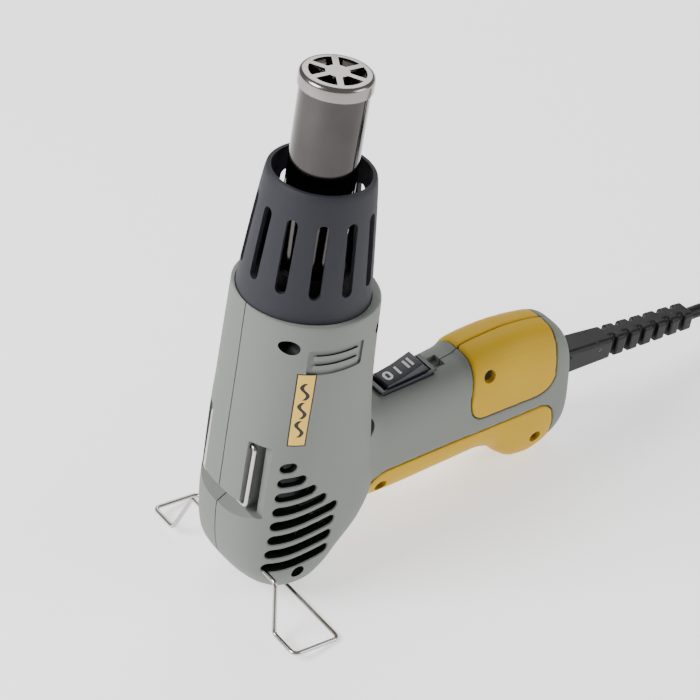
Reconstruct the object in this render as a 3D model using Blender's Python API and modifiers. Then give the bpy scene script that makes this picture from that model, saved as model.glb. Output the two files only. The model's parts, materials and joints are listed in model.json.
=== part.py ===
"""Heat gun: a pistol shaped hot air gun that stands on its wire stand and the heel of its handle.

Every piece is modelled in the barrel's own frame: Z runs along the barrel towards the nozzle, X towards
the handle, and the seam between the two housing halves is the plane Y = 0. The empty gun_frame then leans
the whole gun back until the stand's foot bar and the heel both touch the table, Z = 0.
"""

import math

import bmesh
import bpy
from mathutils import Matrix, Vector

# ---- Driving dimensions, in metres, in the barrel's frame ----
GAP = 0.0003  # between two pieces that touch
SEAM = GAP / 2  # half the gap between left and right pieces

# Housing: z, front x, back x, half width and squareness of the barrel's sections, from the top to the bottom
BODY_STATIONS = (
    (0.1460, -0.0282, 0.0320, 0.0302, 2.1),
    (0.1200, -0.0282, 0.0332, 0.0302, 2.2),
    (0.1000, -0.0283, 0.0350, 0.0298, 2.3),
    (0.0780, -0.0285, 0.0383, 0.0293, 2.5),
    (0.0440, -0.0285, 0.0450, 0.0284, 2.6),
    (0.0340, -0.0278, 0.0414, 0.0283, 2.6),
    (0.0200, -0.0250, 0.0268, 0.0280, 2.6),
    (0.0110, -0.0188, 0.0197, 0.0252, 2.5),
    (0.0060, -0.0132, 0.0172, 0.0205, 2.4),
)
BODY_SIDES = 36
BODY_WALL = 0.0030
CAVITY_TOP = 0.1310

# Handle: x, low z, high z and half width of its rounded sections, from the barrel outwards
HANDLE_STATIONS = (
    (0.0200, 0.0300, 0.0765, 0.0150),
    (0.0400, 0.0288, 0.0797, 0.0155),
    (0.0895, 0.0334, 0.0870, 0.0160),
    (0.0925, 0.0338, 0.0902, 0.0162),
    (0.1040, 0.0350, 0.0925, 0.0164),
    (0.1120, 0.0332, 0.0934, 0.0164),
    (0.1200, 0.0262, 0.0940, 0.0164),
    (0.1260, 0.0224, 0.0940, 0.0164),
    (0.1320, 0.0219, 0.0937, 0.0164),
    (0.1380, 0.0238, 0.0932, 0.0163),
    (0.1440, 0.0275, 0.0922, 0.0160),
    (0.1490, 0.0315, 0.0898, 0.0152),
    (0.1520, 0.0355, 0.0860, 0.0138),
    (0.1535, 0.0395, 0.0820, 0.0118),
)
HANDLE_SIDES = 24
HANDLE_POWER = 3.2
HANDLE_WALL = 0.0052
GRIP_DEPTH = 0.0024
END_SLANT = 0.15  # how far the handle's end runs out for each metre down from its middle
END_MIDDLE_Z = 0.0580
SLANT_START_X, SLANT_FULL_X = 0.1050, 0.1400
HEEL_X, HEEL_Z = 0.1362, 0.0219

# Outlines, x and z, of the two soft grips let into each side of the handle
FRONT_GRIP = (
    (0.0920, 0.1000),
    (0.0920, 0.0680),
    (0.0945, 0.0615),
    (0.0985, 0.0590),
    (0.1320, 0.0613),
    (0.1375, 0.0640),
    (0.1400, 0.0690),
    (0.1375, 0.1000),
)
REAR_GRIP = (
    (0.0350, 0.0150),
    (0.0375, 0.0300),
    (0.0415, 0.0400),
    (0.0470, 0.0455),
    (0.1365, 0.0541),
    (0.1420, 0.0510),
    (0.1445, 0.0450),
    (0.1500, 0.0150),
)

# Air inlets: slots through each side of the housing, lowest first
VENT_LOW_Z = 0.0231
VENT_PITCH = 0.00765
VENT_HEIGHT = 0.0048
VENT_SLOPE = math.radians(8.2)
VENT_FRONT_X = -0.0182
VENT_BACK_X = (0.0119, 0.0122, 0.0125, 0.0128, 0.0058, -0.0007, -0.0067, -0.0118)

# Recess with the two finger ribs and the pocket for the rating label, both on the right side
PANEL = (-0.0145, 0.0112, 0.1236, 0.1352)
PANEL_DEPTH = 0.0010
LABEL = (-0.0172, -0.0102, 0.0886, 0.1240)
LABEL_THICKNESS = 0.0006

# Screws that hold the housing halves together: x and z
HOUSING_SCREWS = (
    (-0.0204, 0.1354),
    (0.0236, 0.1340),
    (-0.0022, 0.0186),
    (0.0356, 0.0740),
    (0.1000, 0.0806),
    (0.0490, 0.0372),
    (0.1366, 0.0362),
)
UPPER_BOSS_Z = 0.1315
BOSS_RADIUS = 0.0040
HEAD_BORE = 0.0030
HEAD_RADIUS = 0.0024
HEAD_SEAT = 0.0070  # distance of a screw head's underside from the seam
HEAD_HEIGHT = 0.0020
SHANK_RADIUS = 0.0012
SHANK_REACH = 0.0060  # how far a screw reaches into the left half

# Heater: tube, shield and what sits inside
TUBE_RADIUS = 0.0140
TUBE_WALL = 0.0008
TUBE_LOW_Z = 0.1180
TUBE_TOP_Z = 0.2436
LIP_RADIUS = 0.01485
LIP_HEIGHT = 0.0065
CAP_THICKNESS = 0.0010
SHIELD_RIM_RADIUS = 0.0220
SHIELD_BASE_RADIUS = 0.0276
SHIELD_TOP_Z = 0.2006
SHIELD_LOW_Z = 0.1398
SHIELD_WALL = 0.0020
FLANGE_BORE = 0.0178
SHIELD_SLOTS = 12
SLOT_LOW_Z, SLOT_HIGH_Z = 0.1567, 0.1888
SLOT_WIDTH = 0.0048
CORE_RADIUS = 0.0068
CORE_LOW_Z, CORE_HIGH_Z = 0.1290, 0.2280
ELEMENT_RADIUS = 0.0086
ELEMENT_WIRE = 0.0005
ELEMENT_TURNS = 9
SLEEVE_RADIUS = 0.0112
SLEEVE_WALL = 0.0005

# Motor and fan
MOTOR_RADIUS = 0.0145
MOTOR_LOW_Z, MOTOR_TOP_Z = 0.0480, 0.0860
SHAFT_RADIUS = 0.0015
MOUNT_ARM_ANGLES = (50, 115, 245, 310)
FAN_RADIUS = 0.0229
FAN_LOW_Z, FAN_TOP_Z = 0.0935, 0.1035
FAN_BLADES = 7
DUCT_RADIUS = 0.0248
DUCT_WALL = 0.0012

# Switch: a rocker in a case let into the deck of the handle
DECK_CENTRE = (0.0617, 0.0829)
DECK_SLOPE = math.radians(8.4)
CASE_HALF_LENGTH = 0.0134
CASE_HALF_WIDTH = 0.0060
CASE_DEPTH = 0.0150
BEZEL_HALF_LENGTH = 0.0149
BEZEL_HALF_WIDTH = 0.0065
BEZEL_HEIGHT = 0.0010
ROCKER_HALF_WIDTH = 0.0051
ROCKER_PIVOT_DEPTH = 0.0018
ROCKER_TILT = math.radians(12)

# Stand and hanging bail, both bent from the same wire
WIRE_RADIUS = 0.0010
STAND_PIVOT = (-0.0166, 0.0208)
STAND_PIN_Y = 0.0190  # inner end of each pin
STAND_ELBOW_Y = 0.0315
STAND_KNEE = (-0.0194, 0.0390)
STAND_FOOT_Y = 0.0540
STAND_BAR_X = 0.0036
BAIL_PIVOT = (-0.0246, 0.0825)
BAIL_BAR = (-0.0252, 0.0530)
BAIL_HALF_WIDTH = 0.0150
BAIL_PIN_Y = 0.0098
POCKET_FLOOR_X = -0.0205
POCKET_HALF_WIDTH = 0.0222

# Strain relief and mains cord
RELIEF_ROOT_Z = 0.0651
RELIEF_SOLID_X, RELIEF_END_X = 0.1835, 0.2355
RELIEF_END_Z = 0.0652
RELIEF_RIBS = 6
RELIEF_NOTCH = 0.0033
RELIEF_ROOT_HALF = 0.0064
CLAMP_THICKNESS = 0.0030
CLAMP_TOP_Z = RELIEF_ROOT_Z - 0.0053
CLAMP_SCREW_X, CLAMP_SCREW_Y = 0.1315, 0.0082
CORD_RADIUS = 0.0032
COIL_REACH = 0.0950  # from the relief's mouth to the coil's centre along X
COIL_Y = -0.0350
COIL_TURNS_WIDE, COIL_LAYERS = 4, 2
COIL_MEAN_RADIUS = 0.0360
PLUG_WIDTH, PLUG_HEIGHT = 0.0350, 0.0260
PLUG_TAIL, PLUG_LENGTH = 0.0180, 0.0570
PIN_RADIUS, PIN_LENGTH, PIN_SPACING = 0.0024, 0.0190, 0.0190

COLLECTION = bpy.data.collections.new("heat_gun")
CUTTERS = bpy.data.collections.new("cutters")


# ---- Materials ----
def material(name, colour, roughness, metallic=0.0):
    """A Principled material, made once for each name."""
    made = bpy.data.materials.get(name)
    if made is None:
        made = bpy.data.materials.new(name)
        made.use_nodes = True
        shader = made.node_tree.nodes["Principled BSDF"]
        shader.inputs["Base Color"].default_value = (*colour, 1.0)
        shader.inputs["Roughness"].default_value = roughness
        shader.inputs["Metallic"].default_value = metallic
    return made


FINISHES = {
    "shell_grey": ((0.17, 0.18, 0.165), 0.42, 0.0),
    "grip_gold": ((0.60, 0.40, 0.09), 0.55, 0.0),
    "guard_black": ((0.012, 0.013, 0.018), 0.35, 0.0),
    "nozzle_chrome": ((0.72, 0.70, 0.66), 0.12, 1.0),
    "wire_steel": ((0.60, 0.60, 0.60), 0.25, 1.0),
    "screw_steel": ((0.30, 0.30, 0.32), 0.40, 1.0),
    "switch_black": ((0.010, 0.011, 0.020), 0.30, 0.0),
    "rubber_black": ((0.025, 0.025, 0.030), 0.50, 0.0),
    "label_gold": ((0.80, 0.50, 0.05), 0.30, 0.0),
    "ceramic_white": ((0.80, 0.77, 0.70), 0.80, 0.0),
    "mica_brown": ((0.45, 0.36, 0.22), 0.50, 0.0),
    "element_wire": ((0.35, 0.30, 0.28), 0.45, 1.0),
    "inner_plastic": ((0.05, 0.05, 0.055), 0.50, 0.0),
    "brass": ((0.75, 0.55, 0.22), 0.30, 1.0),
    "copper": ((0.80, 0.40, 0.22), 0.35, 1.0),
    "board_green": ((0.05, 0.20, 0.08), 0.50, 0.0),
}


# ---- Shapes ----
def link(mesh, name, finish=None, place=(0.0, 0.0, 0.0)):
    """An object from a mesh or curve: a part with a finish, or a cutter without one."""
    made = bpy.data.objects.new(name, mesh)
    made.location = place
    if finish:
        COLLECTION.objects.link(made)
        mesh.materials.append(material(finish, *FINISHES[finish]))
    else:
        CUTTERS.objects.link(made)
        made.hide_render = True
        made.display_type = "WIRE"
    return made


def from_bmesh(shape, name, finish=None, place=(0.0, 0.0, 0.0)):
    """Close a bmesh into an object with its faces pointing out."""
    bmesh.ops.recalc_face_normals(shape, faces=shape.faces)
    mesh = bpy.data.meshes.new(name)
    shape.to_mesh(mesh)
    shape.free()
    return link(mesh, name, finish, place)


def loft(name, rings, finish=None):
    """A closed solid through rings of the same number of points."""
    shape = bmesh.new()
    loops = [[shape.verts.new(point) for point in ring] for ring in rings]
    for low, high in zip(loops, loops[1:]):
        for i in range(len(low)):
            j = (i + 1) % len(low)
            shape.faces.new((low[i], low[j], high[j], high[i]))
    shape.faces.new(loops[0])
    shape.faces.new(loops[-1])
    return from_bmesh(shape, name, finish)


def add_box(shape, low, high, turn=None):
    """A box between two corners, turned about the origin if a matrix is given."""
    centre = [(a + b) / 2 for a, b in zip(low, high)]
    size = [b - a for a, b in zip(low, high)]
    move = Matrix.Translation(centre) @ Matrix.Diagonal((*size, 1.0))
    bmesh.ops.create_cube(shape, size=1.0, matrix=(turn or Matrix()) @ move)


def add_rod(shape, start, end, radius, sides=16):
    """A cylinder between two points."""
    along = Vector(end) - Vector(start)
    turn = along.to_track_quat("Z", "Y").to_matrix().to_4x4()
    middle = Matrix.Translation((Vector(start) + Vector(end)) / 2)
    bmesh.ops.create_cone(
        shape, cap_ends=True, segments=sides, radius1=radius, radius2=radius, depth=along.length, matrix=middle @ turn
    )


def add_prism(shape, outline, low_y, high_y, turn=None):
    """An outline of x and z pulled along Y."""
    face = shape.faces.new([shape.verts.new((x, low_y, z)) for x, z in outline])
    pulled = bmesh.ops.extrude_face_region(shape, geom=[face])["geom"]
    top = [v for v in pulled if isinstance(v, bmesh.types.BMVert)]
    bmesh.ops.translate(shape, verts=top, vec=(0.0, high_y - low_y, 0.0))
    if turn:
        bmesh.ops.transform(shape, matrix=turn, verts=[*face.verts, *top])


def box(name, low, high, finish=None, turn=None):
    """One box as an object."""
    shape = bmesh.new()
    add_box(shape, low, high, turn)
    return from_bmesh(shape, name, finish)


def prism(name, outline, half_width, finish=None, turn=None, place=(0.0, 0.0, 0.0)):
    """One prism across the seam as an object."""
    shape = bmesh.new()
    add_prism(shape, outline, -half_width, half_width, turn)
    return from_bmesh(shape, name, finish, place)


def turned(name, profile, finish=None, sides=24, place=(0.0, 0.0, 0.0), turn=(0.0, 0.0, 0.0)):
    """A solid of revolution about Z. The profile of radius and z runs down its outer side.

    A profile that starts and ends on the axis stays open there, and any other is closed into a ring.
    """
    mesh = bpy.data.meshes.new(name)
    edges = [(i, i + 1) for i in range(len(profile) - 1)]
    if profile[0][0] > 0.0:
        edges.append((len(profile) - 1, 0))
    mesh.from_pydata([(radius, 0.0, z) for radius, z in profile], edges, [])
    made = link(mesh, name, finish, place)
    made.rotation_euler = turn
    spin = made.modifiers.new("spin", "SCREW")
    spin.steps = sides
    spin.render_steps = sides
    spin.use_merge_vertices = True
    spin.merge_threshold = 0.00001
    return made


def wire(name, points, radius, finish, place=(0.0, 0.0, 0.0), sides=2):
    """A wire or cord through points given from its own origin."""
    curve = bpy.data.curves.new(name, "CURVE")
    curve.dimensions = "3D"
    curve.bevel_depth = radius
    curve.bevel_resolution = sides
    curve.use_fill_caps = True
    curve.resolution_u = 1
    curve.render_resolution_u = 0
    spline = curve.splines.new("POLY")
    spline.points.add(len(points) - 1)
    for target, point in zip(spline.points, points):
        target.co = (*point, 1.0)
    return link(curve, name, finish, place)


def boolean(target, tool, operation="DIFFERENCE", solver="EXACT"):
    """Cut, join or keep the overlap of an object with a tool object."""
    step = target.modifiers.new(tool.name, "BOOLEAN")
    step.solver = solver
    step.operation = operation
    step.object = tool
    return target


def grown(outline, amount):
    """An outline of x and z with each corner moved outwards."""
    corners = [Vector(point) for point in outline]
    area = sum(a.cross(b) for a, b in zip(corners, corners[1:] + corners[:1]))
    side = 1.0 if area > 0.0 else -1.0
    moved = []
    for i, corner in enumerate(corners):
        ahead = (corners[(i + 1) % len(corners)] - corner).normalized()
        behind = (corner - corners[i - 1]).normalized()
        normal = Vector((ahead.y + behind.y, -ahead.x - behind.x)).normalized() * side
        moved.append(tuple(corner + normal * amount))
    return moved


def rounded(points, radius, steps=4):
    """A polyline with each inner corner replaced by an arc."""
    path = [Vector(points[0])]
    for before, corner, after in zip(points, points[1:], points[2:]):
        corner = Vector(corner)
        back = (Vector(before) - corner).normalized()
        ahead = (Vector(after) - corner).normalized()
        reach = radius / math.tan(back.angle(ahead) / 2)
        start, end = corner + back * reach, corner + ahead * reach
        for step in range(steps + 1):
            t = step / steps
            path.append(start * (1 - t) ** 2 + corner * 2 * t * (1 - t) + end * t**2)
    path.append(Vector(points[-1]))
    return path


def capsule(x_low, x_high, z_low, z_high, steps=4):
    """An outline with round ends, long in x or in z."""
    radius = min(x_high - x_low, z_high - z_low) / 2
    upright = z_high - z_low > x_high - x_low
    ends = (
        [(x_low + radius, z_high - radius, 0.0), (x_low + radius, z_low + radius, math.pi)]
        if upright
        else [(x_high - radius, z_low + radius, -math.pi / 2), (x_low + radius, z_low + radius, math.pi / 2)]
    )
    return [
        (cx + radius * math.cos(start + math.pi * i / steps), cz + radius * math.sin(start + math.pi * i / steps))
        for cx, cz, start in ends
        for i in range(steps + 1)
    ]


def body_solid(name, inset=0.0, top=None, bottom=0.0):
    """The barrel's oval solid, drawn in by an inset, between a top and the raised bottom."""
    rings = []
    stations = list(BODY_STATIONS)
    if top is not None:
        stations = [(top, *stations[0][1:])] + [s for s in stations if s[0] < top]
    for z, front, back, half, power in stations:
        ring = []
        for i in range(BODY_SIDES):
            angle = math.tau * (i + 0.5) / BODY_SIDES
            along, across = math.cos(angle), math.sin(angle)
            size = (abs(along) ** power + abs(across) ** power) ** (-1 / power)
            reach = (back if along > 0.0 else -front) - inset
            ring.append((reach * along * size, (half - inset) * across * size, z))
        rings.append(ring)
    lowest = rings[-1][0][2] + bottom
    rings[-1] = [(x, y, lowest) for x, y, _ in rings[-1]]
    return loft(name, rings)


def slant(x, z):
    """How far a point of the handle moves along it, so that its end slopes out to the heel."""
    share = min(max((x - SLANT_START_X) / (SLANT_FULL_X - SLANT_START_X), 0.0), 1.0)
    return END_SLANT * (END_MIDDLE_Z - z) * share


def handle_solid(name, inset=0.0):
    """The handle's rounded solid, drawn in by an inset."""
    rings = []
    last = len(HANDLE_STATIONS)
    for x, low, high, half in HANDLE_STATIONS:
        centre, reach = (low + high) / 2, (high - low) / 2 - inset
        if inset:
            x = min(max(x, 0.0230 + inset), HANDLE_STATIONS[-1][0] - inset - 0.0008 * (last - len(rings)))
        ring = []
        for i in range(HANDLE_SIDES):
            angle = math.tau * (i + 0.5) / HANDLE_SIDES
            across, up = math.cos(angle), math.sin(angle)
            size = (abs(across) ** HANDLE_POWER + abs(up) ** HANDLE_POWER) ** (-1 / HANDLE_POWER)
            z = centre + reach * up * size
            ring.append((x + slant(x, z), (half - inset) * across * size, z))
        rings.append(ring)
    return loft(name, rings)


def finished(made, finish):
    """Turn a construction solid into a piece of the gun with its own finish."""
    CUTTERS.objects.unlink(made)
    COLLECTION.objects.link(made)
    made.hide_render = False
    made.display_type = "TEXTURED"
    made.data.materials.append(material(finish, *FINISHES[finish]))
    return made


def half_space(name, side):
    """Everything on one side of the seam: -1 for right and 1 for left."""
    low, high = sorted((side * SEAM, side * 0.1))
    return box(name, (-0.06, low, -0.05), (0.30, high, 0.30))


def deck_turn():
    """Places the switch's own frame, level and centred on the deck."""
    x, z = DECK_CENTRE
    return Matrix.Translation((x, 0.0, z)) @ Matrix.Rotation(-DECK_SLOPE, 4, "Y")


# ---- Housing and grips ----
def cavity():
    """The hollow inside the housing, with the bosses, posts and pocket wall left standing in it."""
    hollow = body_solid("hollow_barrel", BODY_WALL, CAVITY_TOP, BODY_WALL * 0.6)
    boolean(hollow, handle_solid("hollow_handle", HANDLE_WALL), "UNION")
    kept = bmesh.new()
    reach = POCKET_HALF_WIDTH + 0.0010
    add_box(kept, (-0.0350, -reach, 0.0440), (POCKET_FLOOR_X + 0.0030, reach, 0.0890))
    boolean(hollow, from_bmesh(kept, "pocket_wall"))
    posts = bmesh.new()
    for x, z in HOUSING_SCREWS:
        if z < UPPER_BOSS_Z:
            add_rod(posts, (x, -0.04, z), (x, 0.04, z), BOSS_RADIUS, 12)
    for side in (-1, 1):
        low, high = sorted((side * 0.0058, side * 0.02))
        add_box(posts, (0.1280, low, CLAMP_TOP_Z + 0.0018), (0.1350, high, CLAMP_TOP_Z + 0.0108))
    return boolean(hollow, from_bmesh(posts, "bosses"))


def bores():
    """The screw bores: wide for a head on the right, narrow for the shank through to the left."""
    shape = bmesh.new()
    for x, z in HOUSING_SCREWS:
        add_rod(shape, (x, -0.05, z), (x, -HEAD_SEAT, z), HEAD_BORE)
    wide = from_bmesh(shape, "head_bores")
    shape = bmesh.new()
    for x, z in HOUSING_SCREWS:
        add_rod(shape, (x, -HEAD_SEAT - 0.001, z), (x, SHANK_REACH + GAP, z), SHANK_RADIUS + GAP, 10)
    return wide, from_bmesh(shape, "shank_bores")


def vents():
    """Slots with round ends through one wall after the other, rising towards the back."""
    shape = bmesh.new()
    for i, back_x in enumerate(VENT_BACK_X):
        z = VENT_LOW_Z + i * VENT_PITCH
        level = capsule(VENT_FRONT_X, back_x, z - VENT_HEIGHT / 2, z + VENT_HEIGHT / 2)
        outline = [(x, height + (x - VENT_FRONT_X) * math.tan(VENT_SLOPE)) for x, height in level]
        for side in (-1, 1):
            low, high = sorted((side * 0.0195, side * 0.04))
            add_prism(shape, outline, low, high)
    return from_bmesh(shape, "vents")


def pocket():
    """The pocket that the folded bail lies in: two leg channels and the scoop for its bar."""
    shape = bmesh.new()
    z_bar = BAIL_BAR[1]
    for side in (-1, 1):
        low, high = sorted((side * (BAIL_HALF_WIDTH - 0.0022), side * POCKET_HALF_WIDTH))
        add_box(shape, (-0.04, low, z_bar - 0.0020), (POCKET_FLOOR_X, high, BAIL_PIVOT[1] + 0.0035))
    channels = from_bmesh(shape, "bail_channels")
    wedge = (
        (-0.0400, z_bar - 0.0105),
        (-0.0285, z_bar - 0.0070),
        (POCKET_FLOOR_X - 0.0010, z_bar - 0.0020),
        (POCKET_FLOOR_X - 0.0010, z_bar + 0.0015),
        (-0.0400, z_bar + 0.0015),
    )
    scoop = prism("bail_scoop", wedge, POCKET_HALF_WIDTH)
    shape = bmesh.new()
    x, z = BAIL_PIVOT
    add_rod(shape, (x, -BAIL_HALF_WIDTH, z), (x, BAIL_HALF_WIDTH, z), WIRE_RADIUS + GAP, 12)
    return channels, scoop, from_bmesh(shape, "bail_pin_bore")


def surface_cut(name, area, depth, margin=0.0):
    """The layer of the barrel's right side under an area of x and z."""
    x_low, x_high, z_low, z_high = area
    made = box(
        name, (x_low - margin, -0.05, z_low - margin), (x_high + margin, -0.015, z_high + margin)
    )
    return boolean(made, body_solid(name + "_floor", depth))


def housing():
    """The two moulded halves, cut from one solid, and the four grips let into them."""
    wide, narrow = bores()
    hollow = cavity()
    openings = [hollow, vents(), *pocket(), narrow]
    shape = bmesh.new()
    add_rod(shape, (0.0, 0.0, 0.1290), (0.0, 0.0, SHIELD_LOW_Z + 0.001), FLANGE_BORE, 36)
    openings.append(from_bmesh(shape, "flange_bore"))
    shape = bmesh.new()
    add_rod(shape, (0.0, 0.0, SHIELD_LOW_Z - GAP), (0.0, 0.0, 0.16), SHIELD_BASE_RADIUS + GAP, 36)
    openings.append(from_bmesh(shape, "shield_bore"))
    shape = bmesh.new()
    for side in (-1, 1):
        x, z = STAND_PIVOT
        add_rod(shape, (x, side * 0.010, z), (x, side * 0.04, z), WIRE_RADIUS + GAP, 12)
    openings.append(from_bmesh(shape, "stand_pin_bores"))
    reach = CASE_HALF_LENGTH + GAP
    width = CASE_HALF_WIDTH + GAP
    openings.append(box("switch_bore", (-reach, -width, -0.0180), (reach, width, 0.0060), turn=deck_turn()))
    low, high = RELIEF_ROOT_Z - RELIEF_ROOT_HALF - GAP, RELIEF_ROOT_Z + RELIEF_ROOT_HALF + GAP
    openings.append(box("relief_bore", (0.1440, -0.0070 - GAP, low), (0.1600, 0.0070 + GAP, high)))
    shape = bmesh.new()
    for side in (-1, 1):
        x, y = CLAMP_SCREW_X, side * CLAMP_SCREW_Y
        add_rod(shape, (x, y, CLAMP_TOP_Z - 0.0032), (x, y, CLAMP_TOP_Z + 0.0088), SHANK_RADIUS + GAP, 10)
    openings.append(from_bmesh(shape, "clamp_screw_bores"))

    for side, word in ((-1, "right"), (1, "left")):
        made = finished(body_solid("housing_" + word), "shell_grey")
        outer = handle_solid("handle_skin_" + word)
        for outline, label in ((FRONT_GRIP, "front"), (REAR_GRIP, "rear")):
            boolean(outer, prism(f"{label}_grip_recess_{word}", grown(outline, GAP), 0.03))
        boolean(outer, handle_solid("handle_core_" + word, GRIP_DEPTH + GAP), "UNION")
        boolean(made, outer, "UNION")
        boolean(made, half_space("seam_" + word, side), "INTERSECT")
        for opening in openings:
            boolean(made, opening, solver="MANIFOLD")
        if side < 0:
            boolean(made, wide, solver="MANIFOLD")
            boolean(made, surface_cut("panel_recess", PANEL, PANEL_DEPTH), solver="MANIFOLD")
            boolean(made, surface_cut("label_pocket", LABEL, LABEL_THICKNESS + GAP, GAP), solver="MANIFOLD")
        for outline, label in ((FRONT_GRIP, "front"), (REAR_GRIP, "rear")):
            grip = prism(f"{label}_grip_{word}", outline, 0.03, "grip_gold")
            boolean(grip, handle_solid(f"{label}_grip_skin_{word}"), "INTERSECT")
            boolean(grip, handle_solid(f"{label}_grip_core_{word}", GRIP_DEPTH))
            boolean(grip, body_solid(f"{label}_grip_body_{word}", -GAP))
            boolean(grip, half_space(f"{label}_grip_seam_{word}", side), "INTERSECT")
            if side < 0:
                boolean(grip, wide)


def label_plate():
    """The thin rating label, curved to the barrel."""
    plate = finished(surface_cut("label_plate", LABEL, LABEL_THICKNESS), "label_gold")
    boolean(plate, body_solid("label_outside"), "INTERSECT")


def housing_screws():
    """One screw in each bore, its axis along Y and its head to the right."""
    reach = HEAD_SEAT + SHANK_REACH
    profile = [
        (0.0, HEAD_HEIGHT),
        (HEAD_RADIUS, HEAD_HEIGHT),
        (HEAD_RADIUS, 0.0),
        (SHANK_RADIUS, 0.0),
        (SHANK_RADIUS, -reach),
        (0.0, -reach),
    ]
    for number, (x, z) in enumerate(HOUSING_SCREWS, 1):
        seat = -HEAD_SEAT - GAP
        turned(f"housing_screw_{number}", profile, "screw_steel", 10, (x, seat, z), (math.pi / 2, 0.0, 0.0))


# ---- Heater and shield ----
def heat_shield():
    """The slotted guard, open at the rim and standing clear of the tube."""
    span = SHIELD_TOP_Z - SHIELD_LOW_Z
    outer, inner = [], []
    for i in range(7):
        t = i / 6
        z = SHIELD_TOP_Z - t * span
        grow = min(1.0, (SHIELD_TOP_Z - z) / 0.0546)
        radius = SHIELD_RIM_RADIUS + (SHIELD_BASE_RADIUS - SHIELD_RIM_RADIUS) * grow**0.85
        outer.append((radius, z))
        inner.append((radius - SHIELD_WALL, z))
    shield = turned("heat_shield", outer + inner[::-1], "guard_black", 36)
    shape = bmesh.new()
    outline = capsule(-SLOT_WIDTH / 2, SLOT_WIDTH / 2, SLOT_LOW_Z, SLOT_HIGH_Z)
    for i in range(SHIELD_SLOTS):
        turn = Matrix.Rotation(math.tau * i / SHIELD_SLOTS, 4, "Z")
        add_prism(shape, outline, 0.0175, 0.0350, turn)
    boolean(shield, from_bmesh(shape, "shield_slots"))

    collar = TUBE_RADIUS + GAP
    turned(
        "shield_collar",
        [(0.0156, 0.1580), (0.0156, 0.1495), (0.0248, 0.1495), (0.0248, 0.1475), (collar, 0.1475), (collar, 0.1580)],
        "inner_plastic",
    )
    turned(
        "tube_flange",
        [(FLANGE_BORE - GAP, 0.1330), (FLANGE_BORE - GAP, 0.1312), (collar, 0.1312), (collar, 0.1330)],
        "screw_steel",
    )


def heater():
    """The outlet tube with its rolled lip, the grille in its mouth, and the element inside."""
    inner = TUBE_RADIUS - TUBE_WALL
    low_lip = TUBE_TOP_Z - LIP_HEIGHT
    tube_end = TUBE_TOP_Z - CAP_THICKNESS - GAP
    turned(
        "nozzle_tube",
        [(TUBE_RADIUS, tube_end), (TUBE_RADIUS, TUBE_LOW_Z), (inner, TUBE_LOW_Z), (inner, tube_end)],
        "nozzle_chrome",
        32,
    )
    skirt = TUBE_RADIUS + GAP
    cap = turned(
        "outlet_cap",
        [
            (0.0, TUBE_TOP_Z),
            (LIP_RADIUS - 0.0014, TUBE_TOP_Z),
            (LIP_RADIUS - 0.0004, TUBE_TOP_Z - 0.0005),
            (LIP_RADIUS, TUBE_TOP_Z - 0.0016),
            (LIP_RADIUS, low_lip),
            (skirt, low_lip),
            (skirt, TUBE_TOP_Z - CAP_THICKNESS),
            (0.0, TUBE_TOP_Z - CAP_THICKNESS),
        ],
        "nozzle_chrome",
        32,
    )
    shape = bmesh.new()
    outline = capsule(0.0050, 0.0112, -0.0016, 0.0016)
    for i in range(6):
        about = Matrix.Rotation(math.tau * (i + 0.5) / 6, 4, "Z")
        lay = Matrix.Rotation(math.pi / 2, 4, "X")
        add_prism(shape, outline, TUBE_TOP_Z - 0.003, TUBE_TOP_Z + 0.003, about @ lay)
    boolean(cap, from_bmesh(shape, "cap_slots"))

    sleeve_inner = SLEEVE_RADIUS - SLEEVE_WALL
    top, low = CORE_HIGH_Z + 0.004, CORE_LOW_Z - 0.003
    turned(
        "mica_sleeve",
        [(SLEEVE_RADIUS, top), (SLEEVE_RADIUS, low), (sleeve_inner, low), (sleeve_inner, top)],
        "mica_brown",
    )
    fin = box("heater_core", (-CORE_RADIUS, -0.0012, CORE_LOW_Z), (CORE_RADIUS, 0.0012, CORE_HIGH_Z), "ceramic_white")
    across = box("core_fin", (-0.0012, -CORE_RADIUS, CORE_LOW_Z + 0.0002), (0.0012, CORE_RADIUS, CORE_HIGH_Z - 0.0002))
    boolean(fin, across, "UNION")
    steps = ELEMENT_TURNS * 10
    rise = CORE_HIGH_Z - CORE_LOW_Z - 0.012
    helix = [
        (
            ELEMENT_RADIUS * math.cos(math.tau * i / 10),
            ELEMENT_RADIUS * math.sin(math.tau * i / 10),
            CORE_LOW_Z + 0.006 + rise * i / steps,
        )
        for i in range(steps + 1)
    ]
    wire("heating_coil", helix, ELEMENT_WIRE, "element_wire", sides=0)
    box("thermal_cutout", (-0.0040, -0.0025, 0.1205), (0.0040, 0.0025, 0.1275), "inner_plastic")


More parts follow.
